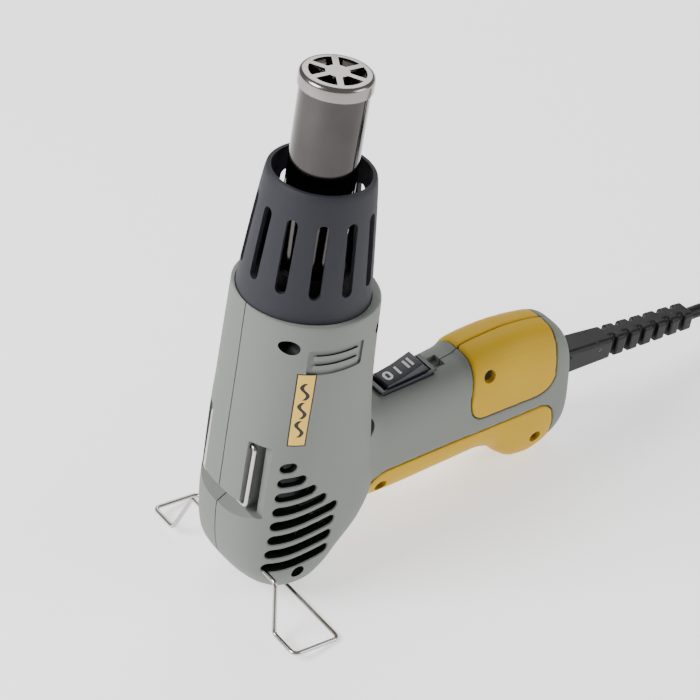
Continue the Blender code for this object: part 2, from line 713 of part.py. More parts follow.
# ---- Motor and fan ----
def motor():
    """A small brushed motor with the fan on its shaft, its mount, and the duct into the heater tube."""
    inner = MOTOR_RADIUS - 0.0010
    nose = MOTOR_TOP_Z
    bush = 0.0035
    turned(
        "motor_can",
        [
            (MOTOR_RADIUS, nose),
            (MOTOR_RADIUS, MOTOR_LOW_Z),
            (inner, MOTOR_LOW_Z),
            (inner, nose - 0.0012),
            (bush + GAP, nose - 0.0012),
            (bush + GAP, nose),
        ],
        "wire_steel",
    )
    cap_low = MOTOR_LOW_Z - 0.0034
    turned(
        "motor_end_cap",
        [
            (MOTOR_RADIUS, MOTOR_LOW_Z - GAP),
            (MOTOR_RADIUS, cap_low),
            (bush + GAP, cap_low),
            (bush + GAP, MOTOR_LOW_Z - GAP),
        ],
        "inner_plastic",
    )
    hole = SHAFT_RADIUS + GAP
    for name, high, low in (
        ("front_bearing", nose + 0.0010, nose - 0.0030),
        ("rear_bearing", MOTOR_LOW_Z - 0.0002, cap_low - 0.0008),
    ):
        turned(name, [(bush, high), (bush, low), (hole, low), (hole, high)], "brass", 16)
    for number, side in ((1, -1), (2, 1)):
        shape = bmesh.new()
        arc = [side * math.radians(angle) for angle in range(-60, 61, 15)]
        outline = [(0.0132 * math.cos(a), 0.0132 * math.sin(a)) for a in arc]
        outline += [(0.0106 * math.cos(a), 0.0106 * math.sin(a)) for a in reversed(arc)]
        lay = Matrix.Rotation(math.pi / 2, 4, "X") @ Matrix.Rotation(math.pi if side < 0 else 0.0, 4, "Y")
        add_prism(shape, outline, MOTOR_LOW_Z + 0.0060, nose - 0.0040, lay)
        from_bmesh(shape, f"motor_magnet_{number}", "inner_plastic")
        low, high = sorted((side * 0.0047, side * 0.0120))
        box(f"motor_brush_{number}", (-0.0015, low, 0.0495), (0.0015, high, 0.0525), "inner_plastic")
    turned(
        "motor_shaft",
        [(0.0, FAN_TOP_Z + 0.003), (SHAFT_RADIUS, FAN_TOP_Z + 0.003), (SHAFT_RADIUS, 0.0400), (0.0, 0.0400)],
        "wire_steel",
        12,
    )
    turned(
        "motor_armature",
        [(0.0098, nose - 0.0060), (0.0098, 0.0570), (hole, 0.0570), (hole, nose - 0.0060)],
        "copper",
        16,
    )
    turned(
        "commutator",
        [(0.0044, 0.0560), (0.0044, 0.0490), (hole, 0.0490), (hole, 0.0560)],
        "copper",
        12,
    )
    fan = turned(
        "fan_impeller",
        [
            (0.0060, FAN_TOP_Z),
            (0.0062, FAN_LOW_Z + 0.0012),
            (FAN_RADIUS, FAN_LOW_Z + 0.0012),
            (FAN_RADIUS, FAN_LOW_Z),
            (hole, FAN_LOW_Z),
            (hole, FAN_TOP_Z),
        ],
        "inner_plastic",
    )
    shape = bmesh.new()
    for i in range(FAN_BLADES):
        about = Matrix.Rotation(math.tau * i / FAN_BLADES, 4, "Z")
        lean = Matrix.Translation((0.0135, 0.0, 0.0)) @ Matrix.Rotation(math.radians(28), 4, "Z")
        add_box(shape, (-0.0088, -0.0005, FAN_LOW_Z + 0.0006), (0.0088, 0.0005, FAN_TOP_Z - 0.0010), about @ lean)
    boolean(fan, from_bmesh(shape, "fan_blades"), "UNION")

    ring = MOTOR_RADIUS + GAP
    mount = turned(
        "motor_mount",
        [(0.0170, 0.0845), (0.0170, 0.0790), (ring, 0.0790), (ring, 0.0845)],
        "inner_plastic",
    )
    shape = bmesh.new()
    for angle in MOUNT_ARM_ANGLES:
        about = Matrix.Rotation(math.radians(angle), 4, "Z")
        add_box(shape, (0.0160, -0.0020, 0.0800), (0.0250, 0.0020, 0.0835), about)
    boolean(mount, from_bmesh(shape, "mount_arms"), "UNION")

    inner = DUCT_RADIUS - DUCT_WALL
    neck = TUBE_RADIUS + 0.0005
    turned(
        "fan_duct",
        [
            (neck + DUCT_WALL, 0.1235),
            (neck + DUCT_WALL, 0.1175),
            (DUCT_RADIUS, 0.1070),
            (DUCT_RADIUS, 0.0918),
            (inner, 0.0918),
            (inner, 0.1066),
            (neck, 0.1168),
            (neck, 0.1235),
        ],
        "inner_plastic",
    )


# ---- Switch, board and cable clamp ----
def switch():
    """The case with its bezel and terminals, and the rocker resting in its off position."""
    turn = deck_turn()
    case = box(
        "switch_case",
        (-CASE_HALF_LENGTH, -CASE_HALF_WIDTH, -CASE_DEPTH),
        (CASE_HALF_LENGTH, CASE_HALF_WIDTH, 0.0008),
        "switch_black",
        turn,
    )
    low = (-BEZEL_HALF_LENGTH, -BEZEL_HALF_WIDTH, GAP)
    high = (BEZEL_HALF_LENGTH, BEZEL_HALF_WIDTH, GAP + BEZEL_HEIGHT)
    boolean(case, box("bezel", low, high, turn=turn), "UNION")
    well = (CASE_HALF_LENGTH - 0.0008, ROCKER_HALF_WIDTH + GAP)
    boolean(case, box("rocker_well", (-well[0], -well[1], -0.0085), (well[0], well[1], 0.01), turn=turn))

    half = [(0.0, 0.0060), (0.0094, 0.0067), (0.0121, 0.0010), (0.0075, -0.0042)]
    outline = half + [(-x, z) for x, z in reversed(half[1:])]
    rocker = prism("switch_rocker", outline, ROCKER_HALF_WIDTH, "switch_black")
    rocker.location = turn @ Vector((0.0, 0.0, -ROCKER_PIVOT_DEPTH))
    rocker.rotation_euler = (0.0, -DECK_SLOPE - ROCKER_TILT, 0.0)

    for number, x in enumerate((-0.0085, 0.0, 0.0085), 1):
        top = -CASE_DEPTH - GAP
        low, high = (x - 0.0004, -0.0024, top - 0.0055), (x + 0.0004, 0.0024, top)
        box(f"switch_terminal_{number}", low, high, "brass", turn)


def electronics():
    """The board behind the switch, with the rectifier that feeds the motor and a capacitor."""
    box("circuit_board", (0.0980, -0.0085, 0.0560), (0.1240, 0.0085, 0.0576), "board_green")
    box("bridge_rectifier", (0.1020, -0.0040, 0.0579), (0.1100, 0.0040, 0.0629), "inner_plastic")
    box("suppression_capacitor", (0.1130, -0.0055, 0.0579), (0.1180, 0.0055, 0.0679), "label_gold")


def strain_relief():
    """The rubber relief: a boot and flange inside, a solid root, then ribs either side of a spine."""
    root = RELIEF_ROOT_Z
    stations = [
        (0.1265, 0.0050, 0.0050, root),
        (0.1395, 0.0050, 0.0050, root),
        (0.1396, 0.0086, 0.0080, root),
        (0.1435, 0.0086, 0.0080, root),
        (0.1436, 0.0070, RELIEF_ROOT_HALF, root),
        (0.1540, 0.0070, RELIEF_ROOT_HALF, root),
        (RELIEF_SOLID_X, 0.0062, 0.0056, root),
    ]
    pitch = (RELIEF_END_X - RELIEF_SOLID_X) / RELIEF_RIBS
    for i in range(RELIEF_RIBS):
        for share, wide in ((0.0, False), (RELIEF_NOTCH, False), (RELIEF_NOTCH, True), (pitch, True)):
            x = RELIEF_SOLID_X + i * pitch + share
            t = (x - RELIEF_SOLID_X) / (RELIEF_END_X - RELIEF_SOLID_X)
            half_y = (0.0062 - 0.0006 * t) if wide else 0.0034
            stations.append((x, half_y, 0.0056 - 0.0008 * t, root + (RELIEF_END_Z - root) * t))
    rings = []
    for x, half_y, half_z, z in stations:
        cut = 0.0012
        corners = [(half_y, half_z - cut), (half_y - cut, half_z), (-half_y + cut, half_z), (-half_y, half_z - cut)]
        corners += [(-y, -h) for y, h in corners]
        rings.append([(x, y, z + h) for y, h in corners])
    loft("strain_relief", rings, "rubber_black")

    low_z = CLAMP_TOP_Z - CLAMP_THICKNESS
    clamp = box("cable_clamp", (0.1280, -0.0100, low_z), (0.1350, 0.0100, CLAMP_TOP_Z), "inner_plastic")
    shape = bmesh.new()
    for side in (-1, 1):
        x, y = CLAMP_SCREW_X, side * CLAMP_SCREW_Y
        add_rod(shape, (x, y, low_z - 0.002), (x, y, CLAMP_TOP_Z + 0.002), SHANK_RADIUS + GAP, 10)
    boolean(clamp, from_bmesh(shape, "clamp_bores"))
    profile = [(0.0, 0.0100), (SHANK_RADIUS, 0.0100), (SHANK_RADIUS, 0.0), (0.0022, 0.0), (0.0022, -0.0015), (0.0, -0.0015)]
    for number, side in ((1, -1), (2, 1)):
        place = (CLAMP_SCREW_X, side * CLAMP_SCREW_Y, low_z - GAP)
        turned(f"clamp_screw_{number}", profile, "screw_steel", 10, place)


# ---- Stand and bail ----
def stand_path():
    """The stand's wire from one pin to the other, from the pivot."""
    pivot_x, pivot_z = STAND_PIVOT
    knee_x, knee_y = STAND_KNEE
    half = [
        (pivot_x, -STAND_PIN_Y, pivot_z),
        (pivot_x, -STAND_ELBOW_Y, pivot_z),
        (knee_x, -knee_y, 0.0),
        (knee_x, -STAND_FOOT_Y, 0.0),
        (STAND_BAR_X, -STAND_FOOT_Y, 0.0),
    ]
    whole = half + [(x, -y, z) for x, y, z in reversed(half)]
    return [point - Vector((pivot_x, 0.0, pivot_z)) for point in rounded(whole, 0.0030)]


def bail_path():
    """The bail's wire from one pin to the other, from the pivot."""
    pivot_x, pivot_z = BAIL_PIVOT
    bar_x, bar_z = BAIL_BAR
    half = [
        (pivot_x, -BAIL_PIN_Y, pivot_z),
        (pivot_x, -BAIL_HALF_WIDTH, pivot_z),
        (bar_x, -BAIL_HALF_WIDTH, bar_z),
    ]
    whole = half + [(x, -y, z) for x, y, z in reversed(half)]
    return [point - Vector((pivot_x, 0.0, pivot_z)) for point in rounded(whole, 0.0018)]


def wires():
    """Each wire piece has its origin on its own pivot axis."""
    x, z = STAND_PIVOT
    wire("stand_wire", stand_path(), WIRE_RADIUS, "wire_steel", (x, 0.0, z))
    x, z = BAIL_PIVOT
    wire("hanging_bail", bail_path(), WIRE_RADIUS, "wire_steel", (x, 0.0, z))


# ---- Standing on the table ----
def lean_angle():
    """The lean at which the foot bar's wire and the heel touch one table."""
    run, rise = HEEL_X - STAND_BAR_X, HEEL_Z
    return math.atan2(rise, run) + math.asin(WIRE_RADIUS / math.hypot(run, rise))


def stand_up():
    """Parent every piece to the leaning frame and centre its footprint on the origin."""
    frame = bpy.data.objects.new("gun_frame", None)
    COLLECTION.objects.link(frame)
    frame.rotation_euler = (0.0, lean_angle(), 0.0)
    for made in [*COLLECTION.objects, *CUTTERS.objects]:
        if made is not frame:
            made.parent = frame
    bpy.context.view_layer.update()
    graph = bpy.context.evaluated_depsgraph_get()
    corners = []
    for made in COLLECTION.objects:
        if made.type in {"MESH", "CURVE"}:
            seen = made.evaluated_get(graph)
            mesh = seen.to_mesh()
            corners += [seen.matrix_world @ vertex.co for vertex in mesh.vertices]
            seen.to_mesh_clear()
    middle = [(min(c[k] for c in corners) + max(c[k] for c in corners)) / 2 for k in (0, 1)]
    frame.location = (-middle[0], -middle[1], -min(c.z for c in corners))
    bpy.context.view_layer.update()
    return frame


# ---- Cord ----
def smooth_path(points, spacing):
    """Points at an even spacing along a smooth curve through the given ones."""
    ends = [points[0] * 2 - points[1], *points, points[-1] * 2 - points[-2]]
    dense = []
    for a, b, c, d in zip(ends, ends[1:], ends[2:], ends[3:]):
        for i in range(40):
            t = i / 40
            dense.append(
                0.5 * (2 * b + (c - a) * t + (2 * a - 5 * b + 4 * c - d) * t**2 + (3 * b - a - 3 * c + d) * t**3)
            )
    dense.append(points[-1])
    length = sum((q - p).length for p, q in zip(dense, dense[1:]))
    count = max(2, round(length / spacing))
    even, walked, target = [dense[0]], 0.0, length / count
    for p, q in zip(dense, dense[1:]):
        step = (q - p).length
        while walked + step >= target * len(even) and len(even) < count:
            even.append(p.lerp(q, (target * len(even) - walked) / step))
        walked += step
    return [*even, dense[-1]]


def rounded_section(x, y, z, half_y, half_z, count=16, power=3.0):
    """A rounded ring across X about a centre."""
    ring = []
    for i in range(count):
        angle = math.tau * (i + 0.5) / count
        across, up = math.cos(angle), math.sin(angle)
        size = (abs(across) ** power + abs(up) ** power) ** (-1 / power)
        ring.append((x, y + half_y * across * size, z + half_z * up * size))
    return ring


def mains_cord(frame):
    """The free cord: out of the relief, down to the table, and into a coil with the plug beside it."""
    mouth = frame.matrix_world @ Vector((RELIEF_END_X + GAP, 0.0, RELIEF_END_Z))
    along = (frame.matrix_world.to_3x3() @ Vector((1.0, 0.0, 0.0))).normalized()
    width = CORD_RADIUS * 2
    outer = COIL_MEAN_RADIUS + width * COIL_TURNS_WIDE / 2
    inner = COIL_MEAN_RADIUS - width * COIL_TURNS_WIDE / 2
    outer_turn = outer - CORD_RADIUS
    centre = Vector((mouth.x + COIL_REACH, mouth.y + COIL_Y, 0.0))
    floor = CORD_RADIUS + 0.0002
    meet = math.sqrt(outer**2 - (outer_turn - CORD_RADIUS) ** 2) + GAP
    end = Vector((centre.x - meet, centre.y + outer_turn, floor))
    route = [
        mouth,
        mouth + along * 0.016,
        Vector((mouth.x + 0.036, mouth.y + 0.0022, 0.0125)),
        Vector((mouth.x + 0.052, mouth.y + 0.0068, 0.0058)),
        end - Vector((0.0060, 0.0006, 0.0)),
        end,
    ]
    wire("cord", smooth_path(route, 0.007), CORD_RADIUS, "rubber_black")
    height = width * COIL_LAYERS + 0.0004
    turned(
        "cord_coil",
        [(outer, height), (outer, 0.0), (inner, 0.0), (inner, height)],
        "rubber_black",
        32,
        centre,
    )
    tail_radius = CORD_RADIUS + 0.0010
    clear = math.sqrt(outer**2 - (outer_turn - tail_radius) ** 2) + GAP
    start = Vector((centre.x - clear, centre.y - outer_turn, PLUG_HEIGHT / 2))
    widths = (
        (0.0, tail_radius, tail_radius, 2.0),
        (PLUG_TAIL, 0.0062, 0.0058, 2.0),
        (PLUG_TAIL + 0.0010, 0.0100, 0.0085, 2.4),
        (PLUG_TAIL + 0.0100, PLUG_WIDTH / 2 - 0.0012, PLUG_HEIGHT / 2 - 0.0008, 2.8),
        (PLUG_TAIL + 0.0180, PLUG_WIDTH / 2, PLUG_HEIGHT / 2, 3.0),
        (PLUG_LENGTH - 0.0015, PLUG_WIDTH / 2, PLUG_HEIGHT / 2, 3.0),
        (PLUG_LENGTH, PLUG_WIDTH / 2 - 0.0015, PLUG_HEIGHT / 2 - 0.0015, 3.0),
    )
    rings = [
        rounded_section(start.x - along_x, start.y, start.z, half_y, half_z, power=power)
        for along_x, half_y, half_z, power in widths
    ]
    loft("plug_body", rings, "rubber_black")
    face = start.x - PLUG_LENGTH - GAP
    for number, side in ((1, -1), (2, 1)):
        shape = bmesh.new()
        y = start.y + side * PIN_SPACING / 2
        add_rod(shape, (face, y, start.z), (face - PIN_LENGTH, y, start.z), PIN_RADIUS, 12)
        from_bmesh(shape, f"plug_pin_{number}", "brass")


def main():
    """Empty the file, make every piece, then stand the gun up and lay its cord."""
    for old in list(bpy.data.objects):
        bpy.data.objects.remove(old, do_unlink=True)
    bpy.context.scene.collection.children.link(COLLECTION)
    bpy.context.scene.collection.children.link(CUTTERS)
    housing()
    label_plate()
    housing_screws()
    heat_shield()
    heater()
    motor()
    switch()
    electronics()
    strain_relief()
    wires()
    frame = stand_up()
    mains_cord(frame)


if __name__ == "__main__":
    main()
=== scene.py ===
"""The looks of a compact corded heat gun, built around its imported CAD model."""

import json
import logging
import math
from dataclasses import dataclass
from enum import Enum
from typing import Callable, Iterable, Sequence

import bmesh
import bpy
from mathutils import Matrix, Vector

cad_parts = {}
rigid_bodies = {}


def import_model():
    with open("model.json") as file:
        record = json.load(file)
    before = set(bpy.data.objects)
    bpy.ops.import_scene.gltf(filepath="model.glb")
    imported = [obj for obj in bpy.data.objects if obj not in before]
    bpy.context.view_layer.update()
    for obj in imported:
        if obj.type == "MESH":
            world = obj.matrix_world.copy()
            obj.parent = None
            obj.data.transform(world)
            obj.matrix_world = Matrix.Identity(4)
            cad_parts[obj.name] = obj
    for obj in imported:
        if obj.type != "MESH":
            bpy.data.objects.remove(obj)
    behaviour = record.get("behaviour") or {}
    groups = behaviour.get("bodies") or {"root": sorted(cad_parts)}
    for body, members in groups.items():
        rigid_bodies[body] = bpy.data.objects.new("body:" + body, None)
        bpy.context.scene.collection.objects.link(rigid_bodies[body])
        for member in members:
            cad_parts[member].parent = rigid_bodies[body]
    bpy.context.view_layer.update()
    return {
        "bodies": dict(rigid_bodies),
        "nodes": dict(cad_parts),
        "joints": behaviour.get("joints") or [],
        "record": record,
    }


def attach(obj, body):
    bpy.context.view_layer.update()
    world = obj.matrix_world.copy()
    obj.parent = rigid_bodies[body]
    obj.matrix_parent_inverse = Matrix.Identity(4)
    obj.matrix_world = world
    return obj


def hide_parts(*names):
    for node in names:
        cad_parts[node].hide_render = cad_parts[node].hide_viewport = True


log = logging.getLogger("heat_gun")
GAP = 0.0003
MERGE = 1e-6
ON_AXIS = 1e-7
WALL_REACH = (-0.05, -0.015)
Outline = Sequence[tuple[float, float]]
Corners = list[tuple[float, float]]
Colour = tuple[float, float, float]


class Side(Enum):
    """The two halves of the moulding, by the sign of Y."""

    RIGHT = -1
    LEFT = 1


# ---- Where the gun stands ----
@dataclass(frozen=True)
class Stance:
    """The leaning barrel's own frame: its foot on the barrel's axis, and the axis itself."""

    foot: Vector
    up: Vector

    def matrix(self) -> Matrix:
        """Turn and shift the barrel's upright frame to where the gun leans."""
        lean = math.atan2(self.up.x, self.up.z)
        return Matrix.Translation(self.foot) @ Matrix.Rotation(lean, 4, "Y")

    @staticmethod
    def read(frame: dict) -> "Stance":
        """Take the stance from the fan's spin axis.


        Returns:
            The stance of the barrel.
        """
        spin = next(j for j in frame["record"]["behaviour"]["joints"] if j["name"] == "fan_spin")
        return Stance(Vector(spin["pos_m"]), Vector(spin["axis"]).normalized())


# ---- Shader groups ----
def feed(tree: bpy.types.NodeTree, socket: bpy.types.NodeSocket, value: object) -> None:
    """Link a socket to an input, or set the input's own number or colour."""
    if isinstance(value, bpy.types.NodeSocket):
        tree.links.new(value, socket)
    elif socket.type == "RGBA":
        socket.default_value = (*value, 1.0)
    else:
        socket.default_value = value


def node_of(tree: bpy.types.NodeTree, kind: str, **inputs: object) -> bpy.types.Node:
    """Add a node and feed its inputs by name.

    Args:
        tree: the tree that it joins.
        kind: the node's type name.
        inputs: plain values or sockets, by the input's name.

    Returns:
        The new node.
    """
    node = tree.nodes.new(kind)
    for name, value in inputs.items():
        feed(tree, node.inputs[name.replace("_", " ")], value)
    return node


def maths(tree: bpy.types.NodeTree, operation: str, *values: object) -> bpy.types.NodeSocket:
    """Add a Math node, feed it the values in order and return its output."""
    node = tree.nodes.new("ShaderNodeMath")
    node.operation = operation
    for socket, value in zip(node.inputs, values):
        feed(tree, socket, value)
    return node.outputs[0]


def mixed(
    tree: bpy.types.NodeTree, factor: bpy.types.NodeSocket, first: object, second: object
) -> bpy.types.NodeSocket:
    """Mix two colours by a factor and return the result's socket."""
    node = tree.nodes.new("ShaderNodeMix")
    node.data_type = "RGBA"
    colours = [socket for socket in node.inputs if socket.type == "RGBA"]
    for socket, value in zip((node.inputs["Factor"], *colours), (factor, first, second)):
        feed(tree, socket, value)
    return next(socket for socket in node.outputs if socket.type == "RGBA")


def new_group(name: str, colours: Iterable[str], values: Iterable[str]) -> bpy.types.NodeTree:
    """Start a shader group that puts out Color, Roughness and Height.

    Args:
        name: the group's name.
        colours: names of its colour inputs.
        values: names of its number inputs.

    Returns:
        The group with its two end nodes named "in" and "out".
    """
    group = bpy.data.node_groups.new(name, "ShaderNodeTree")
    for label in colours:
        group.interface.new_socket(label, in_out="INPUT", socket_type="NodeSocketColor")
    for label in values:
        group.interface.new_socket(label, in_out="INPUT", socket_type="NodeSocketFloat")
    group.interface.new_socket("Color", in_out="OUTPUT", socket_type="NodeSocketColor")
    for label in ("Roughness", "Height"):
        group.interface.new_socket(label, in_out="OUTPUT", socket_type="NodeSocketFloat")
    group.nodes.new("NodeGroupInput").name = "in"
    group.nodes.new("NodeGroupOutput").name = "out"
    return group


def surface_group() -> bpy.types.NodeTree:
    """Build the fine grain and faint mottling that every moulded or drawn surface shares."""
    values = ("Grain", "Mottle", "Smooth", "Rough", "Stretch")
    group = new_group("fine_surface", ("Tint", "Shade"), values)
    given, out = group.nodes["in"].outputs, group.nodes["out"].inputs
    place = group.nodes.new("ShaderNodeTexCoord").outputs["Object"]
    stretch = node_of(group, "ShaderNodeCombineXYZ", X=1.0, Y=1.0, Z=given["Stretch"])
    drawn = group.nodes.new("ShaderNodeVectorMath")
    drawn.operation = "MULTIPLY"
    group.links.new(place, drawn.inputs[0])
    group.links.new(stretch.outputs[0], drawn.inputs[1])
    noise = "ShaderNodeTexNoise"
    grain = node_of(
        group, noise, Vector=drawn.outputs[0], Scale=given["Grain"], Detail=3.0, Roughness=0.6
    )
    mottle = node_of(group, noise, Vector=place, Scale=given["Mottle"], Detail=4.0)
    spread = maths(group, "MULTIPLY_ADD", mottle.outputs["Fac"], 2.2, -0.6)
    group.links.new(mixed(group, spread, given["Shade"], given["Tint"]), out["Color"])
    half = maths(group, "MULTIPLY", spread, 0.5)
    both = maths(group, "MULTIPLY_ADD", grain.outputs["Fac"], 0.5, half)
    span = maths(group, "SUBTRACT", given["Rough"], given["Smooth"])
    rough = maths(group, "MULTIPLY_ADD", both, span, given["Smooth"])
    group.links.new(rough, out["Roughness"])
    group.links.new(grain.outputs["Fac"], out["Height"])
    return group


def speck_group() -> bpy.types.NodeTree:
    """Build sparse pale specks in patches over dark or soft surfaces: a painted highlight that
    lightens them.
    """
    speck_size, patch_scale, patch_share = 0.09, 60.0, 0.56
    group = new_group("painted_highlight_specks", ("Base", "Dust"), ("Amount", "Scale"))
    given, out = group.nodes["in"].outputs, group.nodes["out"].inputs
    place = group.nodes.new("ShaderNodeTexCoord").outputs["Object"]
    cells = node_of(group, "ShaderNodeTexVoronoi", Vector=place, Scale=given["Scale"])
    near = maths(group, "LESS_THAN", cells.outputs["Distance"], speck_size)
    clouds = node_of(group, "ShaderNodeTexNoise", Vector=place, Scale=patch_scale, Detail=2.0)
    patch = maths(group, "GREATER_THAN", clouds.outputs["Fac"], patch_share)
    mask = maths(group, "MULTIPLY", maths(group, "MULTIPLY", near, patch), given["Amount"])
    group.links.new(mixed(group, mask, given["Base"], given["Dust"]), out["Color"])
    for name in ("Roughness", "Height"):
        group.links.new(mask, out[name])
    return group


# ---- Finishes ----
@dataclass(frozen=True)
class Finish:
    """A moulded, drawn or rolled surface with its own grain."""

    name: str
    tint: Colour
    shade: Colour
    smooth: float
    rough: float
    grain: float = 2600.0
    depth: float = 0.00002
    mottle: float = 45.0
    stretch: float = 1.0
    metallic: float = 0.0
    # Share of pale specks laid over the colour as a painted highlight.
    dust: float = 0.0
    specular: float = 0.28

    def build(self) -> bpy.types.Material:
        """Make the node material, or find it where it has been made already."""
        made = bpy.data.materials.get(self.name)
        if made:
            return made
        made = bpy.data.materials.new(self.name)
        made.use_nodes = True
        tree = made.node_tree
        shader = tree.nodes["Principled BSDF"]
        surface = tree.nodes.new("ShaderNodeGroup")
        surface.node_tree = bpy.data.node_groups.get("fine_surface") or surface_group()
        for field in ("tint", "shade", "grain", "mottle", "smooth", "rough", "stretch"):
            feed(tree, surface.inputs[field.title()], getattr(self, field))
        bump = node_of(
            tree, "ShaderNodeBump", Height=surface.outputs["Height"], Distance=self.depth, Strength=0.6
        )
        for name, value in (
            ("Base Color", self.with_painted_highlight(tree, surface.outputs["Color"])),
            ("Roughness", surface.outputs["Roughness"]),
            ("Normal", bump.outputs[0]),
            ("Metallic", self.metallic),
            ("Specular IOR Level", self.specular),
        ):
            feed(tree, shader.inputs[name], value)
        made.diffuse_color = (*self.tint, 1.0)
        return made

    def with_painted_highlight(
        self, tree: bpy.types.NodeTree, colour: bpy.types.NodeSocket
    ) -> bpy.types.NodeSocket:
        """Lay the pale specks of painted highlight, where this finish holds any, over the colour."""
        if not self.dust:
            return colour
        specks = tree.nodes.new("ShaderNodeGroup")
        specks.node_tree = bpy.data.node_groups.get("painted_highlight_specks") or speck_group()
        for name, value in (
            ("Base", colour),
            # Painted highlight: pale grey specks mixed over the colour.
            ("Dust", (0.45, 0.45, 0.45)),
            ("Amount", self.dust),
            ("Scale", 420.0),
        ):
            feed(tree, specks.inputs[name], value)
        return specks.outputs["Color"]


SHELL_GREY = Finish(
    "shell_grey", (0.070, 0.074, 0.067), (0.063, 0.067, 0.060), 0.36, 0.48, specular=0.30
)
GRIP_OCHRE = Finish(
    "grip_ochre", (0.560, 0.345, 0.014), (0.520, 0.315, 0.012), 0.44, 0.58, 3200.0, specular=0.16
)
# The guard's pale specks are a painted highlight.
GUARD_BLACK = Finish(
    "guard_black", (0.0012, 0.0013, 0.0030), (0.0010, 0.0010, 0.0022), 0.34, 0.46, 2200.0,
    dust=0.2, specular=0.05,
)
# Painted reflection: the tube's base colour is kept near black to stand in for the dark surroundings
# that its chrome reflects.
TUBE_CHROME_PAINTED_REFLECTION = Finish(
    "tube_chrome_painted_reflection", (0.070, 0.064, 0.062), (0.052, 0.048, 0.047), 0.07, 0.15, 900.0, 0.000004,
    stretch=0.05, metallic=1.0,
)
GRILLE_CHROME = Finish(
    "grille_chrome", (0.27, 0.25, 0.24), (0.22, 0.205, 0.20), 0.14, 0.26, 1600.0, 0.000006,
    metallic=1.0,
)
WIRE_BRIGHT = Finish(
    "wire_bright", (0.56, 0.53, 0.51), (0.42, 0.40, 0.385), 0.14, 0.26, 1500.0, 0.000004,
    metallic=1.0,
)
SCREW_DARK = Finish(
    "screw_dark", (0.060, 0.060, 0.064), (0.040, 0.040, 0.044), 0.35, 0.55, metallic=1.0
)
SWITCH_BLACK = Finish(
    "switch_black", (0.0022, 0.0024, 0.0058), (0.0018, 0.0020, 0.0046), 0.26, 0.36, 3000.0,
    0.000008, specular=0.2,
)
MARK_WHITE = Finish("mark_white", (0.82, 0.82, 0.82), (0.76, 0.76, 0.76), 0.45, 0.60)
# The relief's dense pale specks are a painted highlight that lightens it.
RELIEF_BLACK = Finish(
    "relief_black", (0.0060, 0.0060, 0.0072), (0.0044, 0.0044, 0.0054), 0.34, 0.48, 1800.0, dust=0.6
)
LEAD_BLACK = Finish(
    "lead_black", (0.0050, 0.0050, 0.0058), (0.0038, 0.0038, 0.0045), 0.38, 0.52, 1500.0
)
LABEL_GOLD = Finish(
    "label_gold", (0.78, 0.33, 0.0), (0.72, 0.30, 0.0), 0.34, 0.46, 800.0, 0.000004, specular=0.12
)
LABEL_EDGE = Finish("label_edge", (0.020, 0.018, 0.020), (0.016, 0.014, 0.016), 0.35, 0.50)
# Black of the coil tie and the inner CAD pieces; on the shell's inner walls it is painted shade.
BLACK_AND_PAINTED_SHADE = Finish("black_and_painted_shade", (0.0060, 0.0060, 0.0070), (0.0045, 0.0045, 0.0052), 0.45, 0.60)
MICA = Finish("mica_sheet", (0.46, 0.36, 0.22), (0.36, 0.27, 0.16), 0.40, 0.60, 700.0, mottle=160.0)
CERAMIC = Finish("fired_ceramic", (0.78, 0.75, 0.68), (0.70, 0.66, 0.58), 0.70, 0.88)
ELEMENT = Finish("element_wire", (0.34, 0.29, 0.26), (0.22, 0.18, 0.17), 0.35, 0.60, metallic=1.0)
BRASS = Finish("bright_brass", (0.72, 0.52, 0.21), (0.64, 0.45, 0.17), 0.20, 0.36, metallic=1.0)
COPPER = Finish(
    "wound_copper", (0.72, 0.33, 0.17), (0.55, 0.24, 0.12), 0.25, 0.45, 2400.0, 0.00006, metallic=1.0
)
BOARD = Finish("board_green", (0.045, 0.19, 0.075), (0.03, 0.14, 0.055), 0.30, 0.42, mottle=300.0)


# ---- Shapes ----
def loft(rings: Sequence[Sequence[Vector]]) -> bmesh.types.BMesh:
    """Draw a circle out through a row of rings and close both ends.

    Args:
        rings: rings of as many points each, in order.

    Returns:
        The closed shape.
    """
    shape = bmesh.new()
    loop = bmesh.ops.create_circle(shape, cap_ends=True, segments=len(rings[0]), radius=1.0)["verts"]
    for vertex, point in zip(loop, rings[0]):
        vertex.co = point
    edges = shape.edges[:]
    for ring in rings[1:]:
        made = bmesh.ops.extrude_edge_only(shape, edges=edges)["geom"]
        fresh = {item for item in made if isinstance(item, bmesh.types.BMVert)}
        ahead = []
        for vertex, point in zip(loop, ring):
            around = (edge.other_vert(vertex) for edge in vertex.link_edges)
            partner = next(other for other in around if other in fresh)
            partner.co = point
            ahead.append(partner)
        loop = ahead
        fresh_edges = (item for item in made if isinstance(item, bmesh.types.BMEdge))
        edges = [edge for edge in fresh_edges if set(edge.verts) <= fresh]
    bmesh.ops.contextual_create(shape, geom=edges)
    bmesh.ops.recalc_face_normals(shape, faces=shape.faces[:])
    return shape


def spun(profile: Outline, steps: int = 96) -> bmesh.types.BMesh:
    """Spin an outline of radius and height round Z into a closed shape."""
    shape = bmesh.new()
    points = [shape.verts.new((r, 0.0, z)) for r, z in profile]
    around = list(zip(points, points[1:] + points[:1]))
    edges = [shape.edges.new(pair) for pair in around if max(end.co.x for end in pair) > ON_AXIS]
    bmesh.ops.spin(
        shape, geom=points + edges, axis=(0, 0, 1), cent=(0, 0, 0), angle=math.tau, steps=steps,
        use_merge=True,
    )
    bmesh.ops.remove_doubles(shape, verts=shape.verts[:], dist=MERGE)
    bmesh.ops.recalc_face_normals(shape, faces=shape.faces[:])
    return shape


